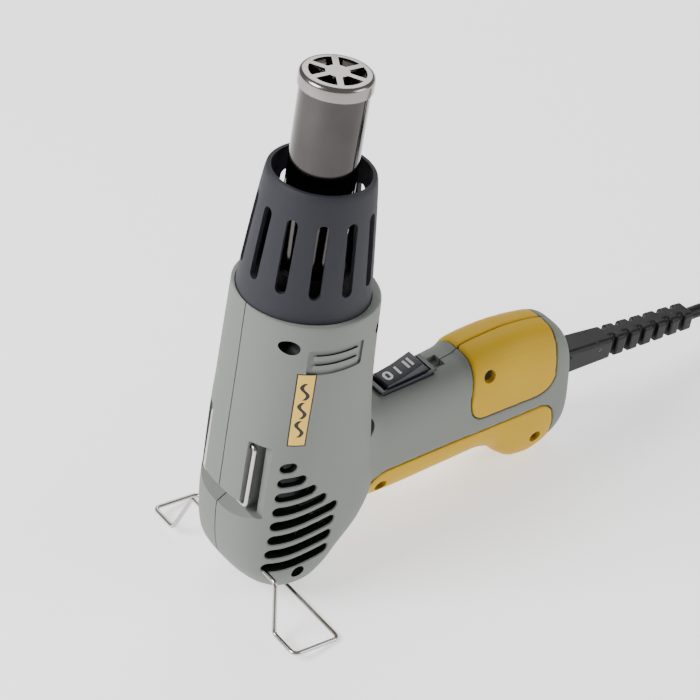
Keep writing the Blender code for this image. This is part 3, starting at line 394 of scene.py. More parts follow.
def slab(outline: Outline, low: float, high: float) -> bmesh.types.BMesh:
    """Extrude an outline of x and z along Y.

    Args:
        outline: corners of x and z.
        low: one end's y.
        high: the other end's y.

    Returns:
        The closed shape.
    """
    shape = bmesh.new()
    face = shape.faces.new([shape.verts.new((x, low, z)) for x, z in outline])
    made = bmesh.ops.extrude_face_region(shape, geom=[face])["geom"]
    moved = [item for item in made if isinstance(item, bmesh.types.BMVert)]
    bmesh.ops.translate(shape, verts=moved, vec=(0.0, high - low, 0.0))
    bmesh.ops.recalc_face_normals(shape, faces=shape.faces[:])
    return shape


def block(low: Sequence[float], high: Sequence[float]) -> bmesh.types.BMesh:
    """Make a box between two corners."""
    shape = bmesh.new()
    bmesh.ops.create_cube(shape, size=1.0)
    bmesh.ops.scale(shape, vec=[b - a for a, b in zip(low, high)], verts=shape.verts[:])
    bmesh.ops.translate(shape, vec=[(a + b) / 2 for a, b in zip(low, high)], verts=shape.verts[:])
    return shape


def rod(
    start: Sequence[float], end: Sequence[float], radius: float, sides: int = 32
) -> bmesh.types.BMesh:
    """Make a round rod between two points."""
    shape = bmesh.new()
    first, last = Vector(start), Vector(end)
    along = last - first
    turn = along.to_track_quat("Z", "Y").to_matrix().to_4x4()
    bmesh.ops.create_cone(
        shape, cap_ends=True, segments=sides, radius1=radius, radius2=radius, depth=along.length,
        matrix=Matrix.Translation((first + last) / 2) @ turn,
    )
    return shape


def eased(
    shape: bmesh.types.BMesh, width: float, segments: int = 3, sharper: float = 30.0
) -> bmesh.types.BMesh:
    """Round every edge that turns by more than an angle in degrees."""
    least = math.radians(sharper)
    edges = [e for e in shape.edges if e.is_manifold and e.calc_face_angle() > least]
    bmesh.ops.bevel(
        shape, geom=edges, offset=width, offset_type="OFFSET", segments=segments, profile=0.5,
        affect="EDGES", clamp_overlap=True, material=-1,
    )
    return shape


def turned_by(shape: bmesh.types.BMesh, matrix: Matrix) -> bmesh.types.BMesh:
    """Apply a matrix to a shape and return it."""
    bmesh.ops.transform(shape, matrix=matrix, verts=shape.verts[:])
    return shape


def joined(shapes: Iterable[bmesh.types.BMesh]) -> bmesh.types.BMesh:
    """Gather separate shapes into one."""
    whole = bmesh.new()
    for shape in shapes:
        mesh = bpy.data.meshes.new("part")
        shape.to_mesh(mesh)
        shape.free()
        whole.from_mesh(mesh)
        bpy.data.meshes.remove(mesh)
    return whole


def as_object(shape: bmesh.types.BMesh, name: str) -> bpy.types.Object:
    """Turn a shape into an object of the scene."""
    mesh = bpy.data.meshes.new(name)
    shape.to_mesh(mesh)
    shape.free()
    made = bpy.data.objects.new(name, mesh)
    bpy.context.scene.collection.objects.link(made)
    return made


def settle(target: bpy.types.Object) -> bpy.types.Object:
    """Bake an object's modifiers into its mesh."""
    graph = bpy.context.evaluated_depsgraph_get()
    mesh = bpy.data.meshes.new_from_object(target.evaluated_get(graph))
    target.modifiers.clear()
    target.data = mesh
    return target


def cut(
    target: bpy.types.Object, tools: Iterable[tuple[bmesh.types.BMesh, str]], solver: str = "MANIFOLD"
) -> bpy.types.Object:
    """Cut, join or intersect an object with shapes, one after the other.

    Args:
        target: the object that changes.
        tools: shapes with their Boolean operations.
        solver: which Boolean solver does it.

    Returns:
        The target.
    """
    for shape, operation in tools:
        tool = as_object(shape, "tool")
        step = target.modifiers.new("cut", "BOOLEAN")
        step.solver = solver
        step.operation = operation
        step.object = tool
        settle(target)
        bpy.data.objects.remove(tool, do_unlink=True)
    return target


def carved(
    shape: bmesh.types.BMesh,
    tools: Iterable[tuple[bmesh.types.BMesh, str]],
    solver: str = "MANIFOLD",
) -> bmesh.types.BMesh:
    """Cut, join or intersect a shape with others and give back the result."""
    made = cut(as_object(shape, "carved"), tools, solver)
    result = bmesh.new()
    result.from_mesh(made.data)
    bpy.data.objects.remove(made, do_unlink=True)
    return result


def remeshed(target: bpy.types.Object, voxel: float, passes: int = 3) -> bpy.types.Object:
    """Cover an object with an even skin and calm it."""
    step = target.modifiers.new("skin", "REMESH")
    step.mode = "VOXEL"
    step.voxel_size = voxel
    settle(target)
    return calmed(target, passes)


def calmed(
    target: bpy.types.Object, passes: int, where: Callable[[Vector], bool] = lambda point: True
) -> bpy.types.Object:
    """Smooth the vertices that a test picks, some passes over."""
    shape = bmesh.new()
    shape.from_mesh(target.data)
    chosen = [v for v in shape.verts if where(v.co)]
    for _ in range(passes):
        bmesh.ops.smooth_vert(
            shape, verts=chosen, factor=0.5, use_axis_x=True, use_axis_y=True, use_axis_z=True
        )
    shape.to_mesh(target.data)
    shape.free()
    return target


def smooth_stations(
    stations: Sequence[Sequence[float]], spacing: float
) -> list[tuple[float, ...]]:
    """Fill in evenly between stations with a curve that never overshoots.

    Args:
        stations: rows whose first number runs one way.
        spacing: how far apart the new rows are.

    Returns:
        The denser rows.
    """
    place = [0.0]
    for a, b in zip(stations, stations[1:]):
        place.append(place[-1] + abs(b[0] - a[0]))
    spans = [end - start for start, end in zip(place, place[1:])]
    columns = list(zip(*stations))
    slopes = []
    for column in columns:
        secants = [(b - a) / span for a, b, span in zip(column, column[1:], spans)]
        pairs = zip(secants, secants[1:])
        inner = [0.0 if s * t <= 0 else 2 * s * t / (s + t) for s, t in pairs]
        slopes.append([secants[0], *inner, secants[-1]])
    rows = []
    for i, span in enumerate(spans):
        steps = max(1, round(span / spacing))
        for k in range(steps):
            t = k / steps
            last = 3 * t**2 - 2 * t**3
            rise, fall = (t**3 - 2 * t**2 + t) * span, (t**3 - t**2) * span
            rows.append(
                tuple(
                    (2 * t**3 - 3 * t**2 + 1) * c[i] + rise * s[i] + last * c[i + 1] + fall * s[i + 1]
                    for c, s in zip(columns, slopes)
                )
            )
    rows.append(tuple(stations[-1]))
    return rows


def rectangle(x_low: float, x_high: float, z_low: float, z_high: float) -> Corners:
    """The four corners between two limits of x and two of z."""
    return [(x_low, z_low), (x_high, z_low), (x_high, z_high), (x_low, z_high)]


def mirrored(half: Sequence[Vector]) -> list[Vector]:
    """A row of points and then its mirror image across the middle plane, back to front."""
    return [*half, *(Vector((p.x, -p.y, p.z)) for p in reversed(half))]


def capsule(
    x_low: float, x_high: float, z_low: float, z_high: float, steps: int = 10
) -> Corners:
    """An outline with round ends, long in x or in z."""
    radius = min(x_high - x_low, z_high - z_low) / 2
    left, low = x_low + radius, z_low + radius
    if z_high - z_low > x_high - x_low:
        ends = [(left, z_high - radius, 0.0), (left, low, math.pi)]
    else:
        ends = [(x_high - radius, low, -math.pi / 2), (left, low, math.pi / 2)]
    return [
        (cx + radius * math.cos(angle), cz + radius * math.sin(angle))
        for cx, cz, start in ends
        for angle in (start + math.pi * i / steps for i in range(steps + 1))
    ]


def rounded_corners(outline: Outline, radius: float, steps: int = 5) -> Corners:
    """Round the corners of a closed outline of x and z."""
    made: Corners = []
    corners = [Vector(point) for point in outline]
    for i, corner in enumerate(corners):
        before, after = corners[i - 1], corners[(i + 1) % len(corners)]
        reach = min(radius, (before - corner).length * 0.45, (after - corner).length * 0.45)
        start = corner + (before - corner).normalized() * reach
        end = corner + (after - corner).normalized() * reach
        for step in range(steps + 1):
            t = step / steps
            made.append(tuple(start * (1 - t) ** 2 + corner * 2 * t * (1 - t) + end * t**2))
    return made


def grown(outline: Outline, amount: float) -> Corners:
    """Move each corner of an outline outwards."""
    corners = [Vector(point) for point in outline]
    area = sum(a.cross(b) for a, b in zip(corners, corners[1:] + corners[:1]))
    side = 1.0 if area > 0.0 else -1.0
    moved = []
    for i, corner in enumerate(corners):
        ahead = (corners[(i + 1) % len(corners)] - corner).normalized()
        behind = (corner - corners[i - 1]).normalized()
        normal = Vector((ahead.y + behind.y, -ahead.x - behind.x)).normalized() * side
        moved.append(tuple(corner + normal * amount))
    return moved


def bent(points: Sequence[Vector], radius: float, steps: int = 8) -> list[Vector]:
    """A polyline with each inner corner replaced by an arc."""
    path = [points[0].copy()]
    for before, corner, after in zip(points, points[1:], points[2:]):
        back, ahead = (before - corner).normalized(), (after - corner).normalized()
        reach = radius / math.tan(back.angle(ahead) / 2)
        start, end = corner + back * reach, corner + ahead * reach
        for step in range(steps + 1):
            t = step / steps
            path.append(start * (1 - t) ** 2 + corner * 2 * t * (1 - t) + end * t**2)
    path.append(points[-1].copy())
    return path


# ---- Dressing ----
@dataclass
class Bench:
    """Where finished pieces are placed, dressed, reported and tied to the frame."""

    stance: Stance

    def place(
        self,
        made: bpy.types.Object,
        name: str,
        finish: Finish,
        body: str,
        stands_for: Sequence[str] = (),
        sharp: float = 34.0,
        world: bool = False,
    ) -> bpy.types.Object:
        """Finish one piece.

        Args:
            made: the object, with its mesh in the barrel's frame.
            name: the piece's name.
            finish: what its surface is.
            body: the CAD body that it rides on.
            stands_for: the CAD nodes that it replaces.
            sharp: the angle in degrees above which an edge stays crisp.
            world: whether the mesh is in the world's frame already.

        Returns:
            The dressed object.
        """
        made.name = name
        made.data.name = name
        if not world:
            made.data.transform(self.stance.matrix())
        made.data.materials.clear()
        made.data.materials.append(finish.build())
        if made.type == "MESH":
            made.data.shade_smooth()
            made.data.set_sharp_from_angle(angle=math.radians(sharp))
        return self.tied(made, finish, body, stands_for)

    @staticmethod
    def tied(
        made: bpy.types.Object, finish: Finish, body: str, stands_for: Sequence[str]
    ) -> bpy.types.Object:
        """Tie a dressed object to its body and to the nodes that it replaces, and report it."""
        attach(made, body)
        if stands_for:
            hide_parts(*stands_for)
        log.info("%s: %s on %s", made.name, finish.name, body)
        return made

    def tube(
        self, name: str, points: Sequence[Vector], radius: float, finish: Finish, body: str,
        stands_for: Sequence[str] = (), world: bool = False,
    ) -> bpy.types.Object:
        """Run a round wire or lead along points.

        Args:
            name: the piece's name.
            points: its centreline.
            radius: its radius.
            finish: what its surface is.
            body: the CAD body that it rides on.
            stands_for: the CAD nodes that it replaces.
            world: whether the points are in the world's frame already.

        Returns:
            The curve object.
        """
        curve = bpy.data.curves.new(name, "CURVE")
        curve.dimensions = "3D"
        curve.bevel_depth = radius
        curve.bevel_resolution = 4
        curve.use_fill_caps = True
        curve.resolution_u = 1
        spline = curve.splines.new("POLY")
        spline.points.add(len(points) - 1)
        matrix = Matrix.Identity(4) if world else self.stance.matrix()
        for target, point in zip(spline.points, points):
            target.co = (*(matrix @ point), 1.0)
        spline.use_smooth = True
        made = bpy.data.objects.new(name, curve)
        bpy.context.scene.collection.objects.link(made)
        curve.materials.append(finish.build())
        return self.tied(made, finish, body, stands_for)


# ---- Housing ----
@dataclass
class Housing:
    """The two moulded halves with their vents, holes, recesses and the four soft grips."""

    bench: Bench
    # Height, front, back, half width and squareness of each section of the barrel.
    barrel: Sequence[Sequence[float]] = (
        (0.1460, -0.0282, 0.0320, 0.0302, 2.1),
        (0.1200, -0.0282, 0.0332, 0.0302, 2.2),
        (0.1000, -0.0283, 0.0350, 0.0298, 2.3),
        (0.0780, -0.0285, 0.0383, 0.0293, 2.5),
        (0.0440, -0.0285, 0.0450, 0.0284, 2.6),
        (0.0340, -0.0278, 0.0414, 0.0283, 2.6),
        (0.0200, -0.0250, 0.0268, 0.0280, 2.6),
        (0.0110, -0.0188, 0.0197, 0.0252, 2.5),
        (0.0060, -0.0132, 0.0172, 0.0205, 2.4),
    )
    # Distance, underside, top and half width of each section of the handle.
    handle: Sequence[Sequence[float]] = (
        (0.0200, 0.0300, 0.0765, 0.0150),
        (0.0400, 0.0288, 0.0797, 0.0155),
        (0.0895, 0.0334, 0.0870, 0.0160),
        (0.0925, 0.0338, 0.0902, 0.0162),
        (0.1040, 0.0350, 0.0925, 0.0164),
        (0.1120, 0.0332, 0.0934, 0.0164),
        (0.1200, 0.0262, 0.0940, 0.0164),
        (0.1260, 0.0224, 0.0940, 0.0164),
        (0.1320, 0.0219, 0.0937, 0.0164),
        (0.1380, 0.0238, 0.0932, 0.0163),
        (0.1440, 0.0275, 0.0922, 0.0160),
        (0.1490, 0.0315, 0.0898, 0.0152),
        (0.1520, 0.0355, 0.0860, 0.0138),
        (0.1535, 0.0395, 0.0820, 0.0118),
    )
    upper_grip: Outline = (
        (0.0920, 0.1000), (0.0920, 0.0680), (0.0945, 0.0615), (0.0985, 0.0590),
        (0.1320, 0.0613), (0.1375, 0.0640), (0.1400, 0.0690), (0.1375, 0.1000),
    )
    lower_grip: Outline = (
        (0.0350, 0.0150), (0.0375, 0.0300), (0.0415, 0.0400), (0.0470, 0.0455),
        (0.1365, 0.0541), (0.1420, 0.0510), (0.1445, 0.0450), (0.1500, 0.0150),
    )
    screws: Outline = (
        (-0.0204, 0.1354), (0.0236, 0.1340), (-0.0022, 0.0186), (0.0356, 0.0740),
        (0.1000, 0.0806), (0.0490, 0.0372), (0.1366, 0.0362),
    )
    vent_backs: Sequence[float] = (
        0.0119, 0.0122, 0.0125, 0.0128, 0.0058, -0.0007, -0.0067, -0.0118
    )
    vent_low: float = 0.0231
    vent_pitch: float = 0.00765
    vent_height: float = 0.0048
    vent_front: float = -0.0182
    vent_slope: float = math.radians(8.2)
    panel: tuple[float, float, float, float] = (-0.0145, 0.0112, 0.1236, 0.1352)
    label: tuple[float, float, float, float] = (-0.0172, -0.0102, 0.0886, 0.1240)
    grip_depth: float = 0.0024
    grip_corner: float = 0.004
    groove_width: float = 0.00065
    # Depth below the skin past which the shell's inner faces get painted shade.
    painted_shade_depth: float = 0.0011
    seam: float = 0.00028
    head_radius: float = 0.0031
    foot_height: float = 0.007
    root_end: float = 0.046
    handle_power: float = 3.2
    voxel: float = 0.0008
    grip_voxel: float = 0.00055
    plate_depth: float = 0.0008

    def barrel_shape(
        self, inset: float = 0.0, top: float | None = None, spacing: float = 0.002, sides: int = 96
    ) -> bmesh.types.BMesh:
        """Loft the barrel's oval sections.

        Args:
            inset: how far the surface is drawn in.
            top: the height of the top, if not the real one.
            spacing: how far apart the rings are.
            sides: how many points a ring has.

        Returns:
            The closed shape.
        """
        rows = smooth_stations(self.barrel, spacing)
        if top is not None:
            rows = [(top, *rows[0][1:])] + [row for row in rows if row[0] < top]
        rings = []
        for z, front, back, half, power in rows:
            ring = []
            for i in range(sides):
                angle = math.tau * i / sides
                along, across = math.cos(angle), math.sin(angle)
                size = (abs(along) ** power + abs(across) ** power) ** (-1 / power)
                reach = (back if along > 0.0 else -front) - inset
                lift = inset if z < self.foot_height else 0.0
                ring.append(Vector((reach * along * size, (half - inset) * across * size, z + lift)))
            rings.append(ring)
        return loft(rings)

    @staticmethod
    def slant(x: float, z: float) -> float:
        """How far a point moves along the handle, so that its end slopes out to the heel."""
        slope, middle, start, full = 0.15, 0.0580, 0.1050, 0.1400
        return slope * (middle - z) * min(max((x - start) / (full - start), 0.0), 1.0)

    def handle_shape(
        self, inset: float = 0.0, flare: float = 0.0, sides: int = 72
    ) -> bmesh.types.BMesh:
        """Loft the handle's rounded sections.

        Args:
            inset: how far the surface is drawn in.
            flare: how far the root swells into the barrel.
            sides: how many points a ring has.

        Returns:
            The closed shape.
        """
        rings = []
        power, swell_length, swell_power, most = self.handle_power, 0.013, 2.2, 1.6
        last = self.handle[-1][0] - inset
        for x, low, high, half in smooth_stations(self.handle, 0.0015):
            if x > last:
                continue
            swell = flare * max(0.0, (self.root_end - x) / swell_length) ** swell_power
            swell = min(swell, flare * most)
            centre, reach = (low + high) / 2, (high - low) / 2 - inset
            ring = []
            for i in range(sides):
                angle = math.tau * (i + 0.5) / sides
                across, up = math.cos(angle), math.sin(angle)
                size = (abs(across) ** power + abs(up) ** power) ** (-1 / power)
                z = centre + (reach + swell * 0.5) * up * size
                ring.append(Vector((x + self.slant(x, z), (half - inset + swell) * across * size, z)))
            rings.append(ring)
        return loft(rings)

    def half_space(self, side: Side) -> bmesh.types.BMesh:
        """Everything on one side of the seam."""
        low, high = sorted((side.value * self.seam, side.value * 0.1))
        return block((-0.06, low, -0.05), (0.30, high, 0.30))

    def layer(self, outline: Outline, depth: float) -> bmesh.types.BMesh:
        """The layer of the barrel's right side under an outline, as deep as given."""
        return carved(slab(outline, *WALL_REACH), [(self.barrel_shape(depth), "DIFFERENCE")])

    def slots(self, wider: float) -> bmesh.types.BMesh:
        """Draw every vent slot through both walls.

        Args:
            wider: how far each outline is let out.

        Returns:
            The slots as cutters.
        """
        shapes = []
        front, rise = self.vent_front, math.tan(self.vent_slope)
        reach = self.vent_height / 2 + wider
        for i, back in enumerate(self.vent_backs):
            z = self.vent_low + i * self.vent_pitch
            level = capsule(front - wider, back + wider, z - reach, z + reach)
            outline = [(x, height + (x - front) * rise) for x, height in level]
            for side in Side:
                low, high = sorted((side.value * 0.0195, side.value * 0.04))
                shapes.append(slab(outline, low, high))
        return joined(shapes)

    def vent_rims(self) -> bmesh.types.BMesh:
        """The shallow step round each slot that catches the light."""
        width, depth = 0.00045, 0.00035
        return carved(self.slots(width), [(self.barrel_shape(depth), "DIFFERENCE")])

    def pocket(self) -> bmesh.types.BMesh:
        """The channels and scoop that the folded bail lies in."""
        corner, start, legs = 0.0012, -0.04, []
        wide, narrow = (rectangle(0.0128, x, 0.0495, 0.0860) for x in (0.0222, 0.0170))
        for side in (-1, 1):
            turn = Matrix(((0, 1, 0, 0), (side, 0, 0, 0), (0, 0, 1, 0), (0, 0, 0, 1)))
            for outline, floor in ((wide, -0.0205), (narrow, -0.0165)):
                legs.append(turned_by(slab(rounded_corners(outline, corner), start, floor), turn))
        wedge = [(-0.0400, 0.0425), (-0.0285, 0.0460), (-0.0215, 0.0510)]
        wedge += [(-0.0215, 0.0545), (-0.0400, 0.0545)]
        legs.append(slab(rounded_corners(wedge, corner), -0.0222, 0.0222))
        return carved(legs[0], [(leg, "UNION") for leg in legs[1:]], "EXACT")

    def openings(self) -> list[bmesh.types.BMesh]:
        """Everything that is cut from both halves."""
        deck = Switch.turn()
        x, z = WireWork.stand_pin
        stand_holes = (rod((x, s * 0.010, z), (x, s * 0.04, z), 0.0014, 24) for s in (-1, 1))
        x, z = WireWork.bail_pin
        return [
            self.pocket(),
            spun(rectangle(0.0, 0.0279, 0.1395, 0.16), 96),
            spun(rectangle(0.0, 0.0178, 0.1290, 0.1410), 48),
            joined(stand_holes),
            rod((x, -0.0150, z), (x, 0.0150, z), 0.0013, 24),
            turned_by(block((-0.0137, -0.0063, -0.0180), (0.0137, 0.0063, 0.0060)), deck),
            turned_by(block((0.0153, -0.0038, -0.0034), (0.0212, 0.0038, 0.0080)), deck),
            block((0.1440, -0.0073, 0.0584), (0.1600, 0.0073, 0.0718)),
        ]

    def hollow(self) -> bmesh.types.BMesh:
        """The space inside the walls."""
        kept = [block((-0.035, -0.0232, 0.0420), (-0.0175, 0.0232, 0.0890))]
        for low, high in ((-0.0232, -0.0112), (0.0112, 0.0232)):
            kept.append(block((-0.034, low, 0.0425), (-0.0148, high, 0.0885)))
        low_screws = ((x, z) for x, z in self.screws if z < 0.13)
        kept.append(joined(rod((x, -0.04, z), (x, 0.04, z), 0.0040, 24) for x, z in low_screws))
        tools = [(self.handle_shape(0.0052), "UNION"), *((shape, "DIFFERENCE") for shape in kept)]
        return carved(self.barrel_shape(0.0030, 0.1310, 0.006), tools, "EXACT")

    def head_bores(self) -> bmesh.types.BMesh:
        """The wide screw holes of the right side."""
        radius, low, high = self.head_radius, -0.05, -0.0070
        return joined(rod((x, low, z), (x, high, z), radius, 40) for x, z in self.screws)

    def ribs(self) -> bmesh.types.BMesh:
        """The two raised finger ribs inside the recessed panel."""
        x_low, x_high, z_low, z_high = self.panel
        margin, half, shapes = 0.0022, 0.0011, []
        for share in (0.30, 0.68):
            z = z_low + (z_high - z_low) * share
            outline = capsule(x_low + margin, x_high - margin, z - half, z + half)
            shapes.append(self.inlay(outline, 0.0015, 0.0001))
        return joined(shapes)

    def inlay(self, outline: Outline, low: float, high: float) -> bmesh.types.BMesh:
        """The right wall's material under an outline, between two depths."""
        tools = [(self.barrel_shape(low), "DIFFERENCE"), (self.barrel_shape(high), "INTERSECT")]
        return carved(slab(outline, *WALL_REACH), tools)

    def skin(self) -> bpy.types.Object:
        """The whole outer skin of barrel and handle with the fillet between them."""
        outer = as_object(self.handle_shape(), "outer")
        for outline in (self.upper_grip, self.lower_grip):
            wide = rounded_corners(grown(outline, self.groove_width), self.grip_corner)
            cut(outer, [(slab(wide, -0.03, 0.03), "DIFFERENCE")])
        core = self.handle_shape(self.grip_depth + GAP)
        cut(outer, [(shape, "UNION") for shape in (core, self.barrel_shape(), self.root())])
        remeshed(outer, self.voxel, 2)
        return calmed(outer, 10, self.in_corner)

    @staticmethod
    def in_corner(point: Vector) -> bool:
        """Whether a point lies in the corner between handle and barrel, off the seam."""
        return 0.024 < point.x < 0.047 and point.z > 0.046 and abs(point.y) > 0.004

    def root(self) -> bmesh.types.BMesh:
        """The flared root that fills the corner between the handle and the barrel."""
        corner = block((0.015, -0.05, 0.0470), (self.root_end, 0.05, 0.12))
        return carved(self.handle_shape(flare=0.0045), [(corner, "INTERSECT")])

    def build(self) -> None:
        """Build the halves, the grips and the label."""
        skin = self.skin()
        cuts = [self.vent_rims(), self.hollow(), self.slots(0.0), *self.openings()]
        for side in Side:
            word = side.name.lower()
            made = skin.copy()
            made.data = skin.data.copy()
            bpy.context.scene.collection.objects.link(made)
            cut(made, [(self.half_space(side), "INTERSECT")])
            cut(made, [(shape.copy(), "DIFFERENCE") for shape in cuts])
            if side is Side.RIGHT:
                recess = self.layer(rounded_corners(rectangle(*self.panel), 0.0015), 0.0010)
                pocket = self.layer(grown(rectangle(*self.label), 0.0002), self.plate_depth)
                holes = (self.head_bores(), recess, pocket)
                cut(made, [*((shape, "DIFFERENCE") for shape in holes), (self.ribs(), "UNION")])
            self.bench.place(made, f"shell_{word}", SHELL_GREY, "housing", [f"housing_{word}"])
            # Painted shade on the shell's inner walls.
            self.paint_inner_shade(made)
            for outline, label, node in (
                (self.upper_grip, "upper", "front_grip"),
                (self.lower_grip, "lower", "rear_grip"),
            ):
                self.grip(side, outline, f"{label}_grip_{word}", f"{node}_{word}")
        bpy.data.objects.remove(skin, do_unlink=True)
        for shape in cuts:
            shape.free()
        self.plate()

    def paint_inner_shade(self, made: bpy.types.Object) -> None:
        """Paint shade on the inside of the barrel's walls: faces deeper than a set depth, outside the
        bail pocket, get a black material that stands in for the shade there.
        """
        made.data.materials.append(BLACK_AND_PAINTED_SHADE.build())
        back = self.bench.stance.matrix().inverted()
        rows = smooth_stations(self.barrel, 0.002)
        for face in made.data.polygons:
            point = back @ face.center
            in_pocket = point.x < -0.0176 and 0.044 < point.z < 0.088
            if in_pocket or not 0.004 < point.z < 0.139:
                continue
            _, front, rear, half, power = min(rows, key=lambda row: abs(row[0] - point.z))
            reach = (rear if point.x > 0.0 else -front) - self.painted_shade_depth
            across = abs(point.y) / (half - self.painted_shade_depth)
            # Painted shade: these inner faces take the black material.
            if (abs(point.x) / reach) ** power + across**power < 1.0 and point.x < 0.026:
                face.material_index = 1

    def grip(self, side: Side, outline: Outline, name: str, node: str) -> None:
        """Build one soft grip.

        Args:
            side: which half holds it.
            outline: its outline.
            name: the piece's name.
            node: the CAD node that it stands for.
        """
        made = as_object(slab(rounded_corners(outline, self.grip_corner), -0.03, 0.03), name)
        tools = [
            (self.handle_shape(), "INTERSECT"),
            (self.handle_shape(self.grip_depth), "DIFFERENCE"),
            (self.barrel_shape(-0.0004), "DIFFERENCE"),
            (self.half_space(side), "INTERSECT"),
        ]
        remeshed(cut(made, tools), self.grip_voxel, 3)
        if side is Side.RIGHT:
            cut(made, [(self.head_bores(), "DIFFERENCE")])
        self.bench.place(made, name, GRIP_OCHRE, "housing", [node])

    def plate(self) -> None:
        """Build the label: a dark edge, a gold face and three plain rising heat waves."""
        x_low, x_high, z_low, z_high = self.label
        corners = rectangle(*self.label)
        edge = as_object(self.inlay(corners, self.plate_depth, 0.00015), "edge")
        self.bench.place(edge, "label_edge", LABEL_EDGE, "housing", ["label_plate"])
        face = as_object(self.inlay(grown(corners, -0.0006), 0.0003, 0.00008), "face")
        self.bench.place(face, "label_face", LABEL_GOLD, "housing")
        half, swing, length, steps, marks = 0.00075, 0.0013, 0.0082, 12, []
        for i in range(3):
            middle = z_low + (z_high - z_low) * (0.24 + 0.26 * i)
            left, right = [], []
            for k in range(steps + 1):
                t = k / steps
                x = (x_low + x_high) / 2 + swing * math.sin(math.tau * t)
                left.append((x - half, middle + length * (t - 0.5)))
                right.append((x + half, middle + length * (t - 0.5)))
            marks.append(self.inlay(left + right[::-1], 0.0002, 0.00004))
        self.bench.place(as_object(joined(marks), "marks"), "label_waves", LABEL_EDGE, "housing")


# ---- Guard and outlet ----
@dataclass
class Outlet:
    """The slotted guard, the bright tube in it and the pressed grille in its mouth."""

    bench: Bench
    rim_radius: float = 0.0220
    base_radius: float = 0.0276
    top: float = 0.2006
    low: float = 0.1398
    wall: float = 0.0020
    slots: int = 12
    around: int = 144
    tube_radius: float = 0.0140
    tube_low: float = 0.1180
    tube_top: float = 0.2436
    lip_radius: float = 0.01485
    spokes: int = 6

    def guard(self) -> None:
        """Spin the guard and cut its slots."""
        outer, inner = [], []
        steps, flare_height, flare_power = 24, 0.0546, 0.85
        for i in range(steps + 1):
            z = self.top - (self.top - self.low) * i / steps
            grow = min(1.0, (self.top - z) / flare_height) ** flare_power
            radius = self.rim_radius + (self.base_radius - self.rim_radius) * grow
            outer.append((radius, z))
            inner.append((radius - self.wall, z))
        outer[0] = (outer[0][0] - 0.0005, outer[0][1])
        outer.insert(1, (self.rim_radius, self.top - 0.0006))
        made = as_object(spun(outer + inner[::-1], self.around), "guard")
        slots = []
        for i in range(self.slots):
            shape = slab(capsule(-0.0024, 0.0024, 0.1567, 0.1888), 0.0175, 0.0350)
            slots.append(turned_by(shape, Matrix.Rotation(math.tau * i / self.slots, 4, "Z")))
        cut(made, [(joined(slots), "DIFFERENCE")])
        self.bench.place(made, "slotted_guard", GUARD_BLACK, "housing", ["heat_shield"])

    def tube(self) -> None:
        """Spin the plain tube."""
        wall = self.tube_radius - 0.0008
        end = self.tube_top - 0.0013
        profile = [(self.tube_radius, end), (self.tube_radius, self.tube_low)]
        profile += [(wall, self.tube_low), (wall, end)]
        made = as_object(spun(profile, self.around), "tube")
        # Its near-black base is a painted reflection.
        self.bench.place(made, "outlet_tube", TUBE_CHROME_PAINTED_REFLECTION, "housing", ["nozzle_tube"])

    def grille(self) -> None:
        """Press the grille: a hub on six spokes, six openings and the tabs bent in from them."""
        top, radius, edge = self.tube_top, self.lip_radius, 0.0019
        profile = [(0.0, top)]
        for i in range(9):
            angle = math.pi / 2 * i / 8
            reach, height = edge * math.sin(angle), edge * math.cos(angle)
            profile.append((radius - edge + reach, top - edge + height))
        skirt = self.tube_radius + 0.00015
        profile += [(radius, top - 0.0060), (radius - 0.0004, top - 0.0065)]
        profile += [(skirt, top - 0.0065), (skirt, top - 0.0010), (0.0, top - 0.0010)]
        made = as_object(spun(profile, self.around), "grille")
        turns = [
            Matrix.Rotation(math.tau * (i + 0.5) / self.spokes, 4, "Z") for i in range(self.spokes)
        ]
        upright = Matrix.Rotation(math.pi / 2, 4, "X")
        outline = self.window()
        whole = joined(
            turned_by(slab(outline, top - 0.003, top + 0.003), turn @ upright) for turn in turns
        )
        bmesh.ops.recalc_face_normals(whole, faces=whole.faces[:])
        cut(made, [(whole, "DIFFERENCE")])
        self.bench.place(
            made, "outlet_grille", GRILLE_CHROME, "housing", ["outlet_cap"], sharp=25.0
        )
        hang = Matrix.Translation((0.0112, 0.0, top - 0.0012))
        hang = hang @ Matrix.Rotation(math.radians(-48), 4, "Y")
        low, high = (-0.0042, -0.0024, -0.00035), (0.0, 0.0024, 0.00035)
        tabs = joined(turned_by(eased(block(low, high), 0.0002, 2), turn @ hang) for turn in turns)
        self.bench.place(as_object(tabs, "tabs"), "grille_tabs", GRILLE_CHROME, "housing")

    def window(self) -> Corners:
        """One opening between two spokes, with straight sides and two arcs."""
        inner, outer, spoke, steps = 0.0048, 0.0114, 0.00125, 6
        outline = []
        for reach, way in ((inner, 1), (outer, -1)):
            half = math.pi / self.spokes - math.asin(spoke / reach)
            for k in range(steps + 1):
                angle = way * half * (2 * k / steps - 1)
                outline.append((reach * math.cos(angle), reach * math.sin(angle)))
        return outline

    def build(self) -> None:
        """Build the guard, the tube and the grille."""
        self.guard()
        self.tube()
        self.grille()


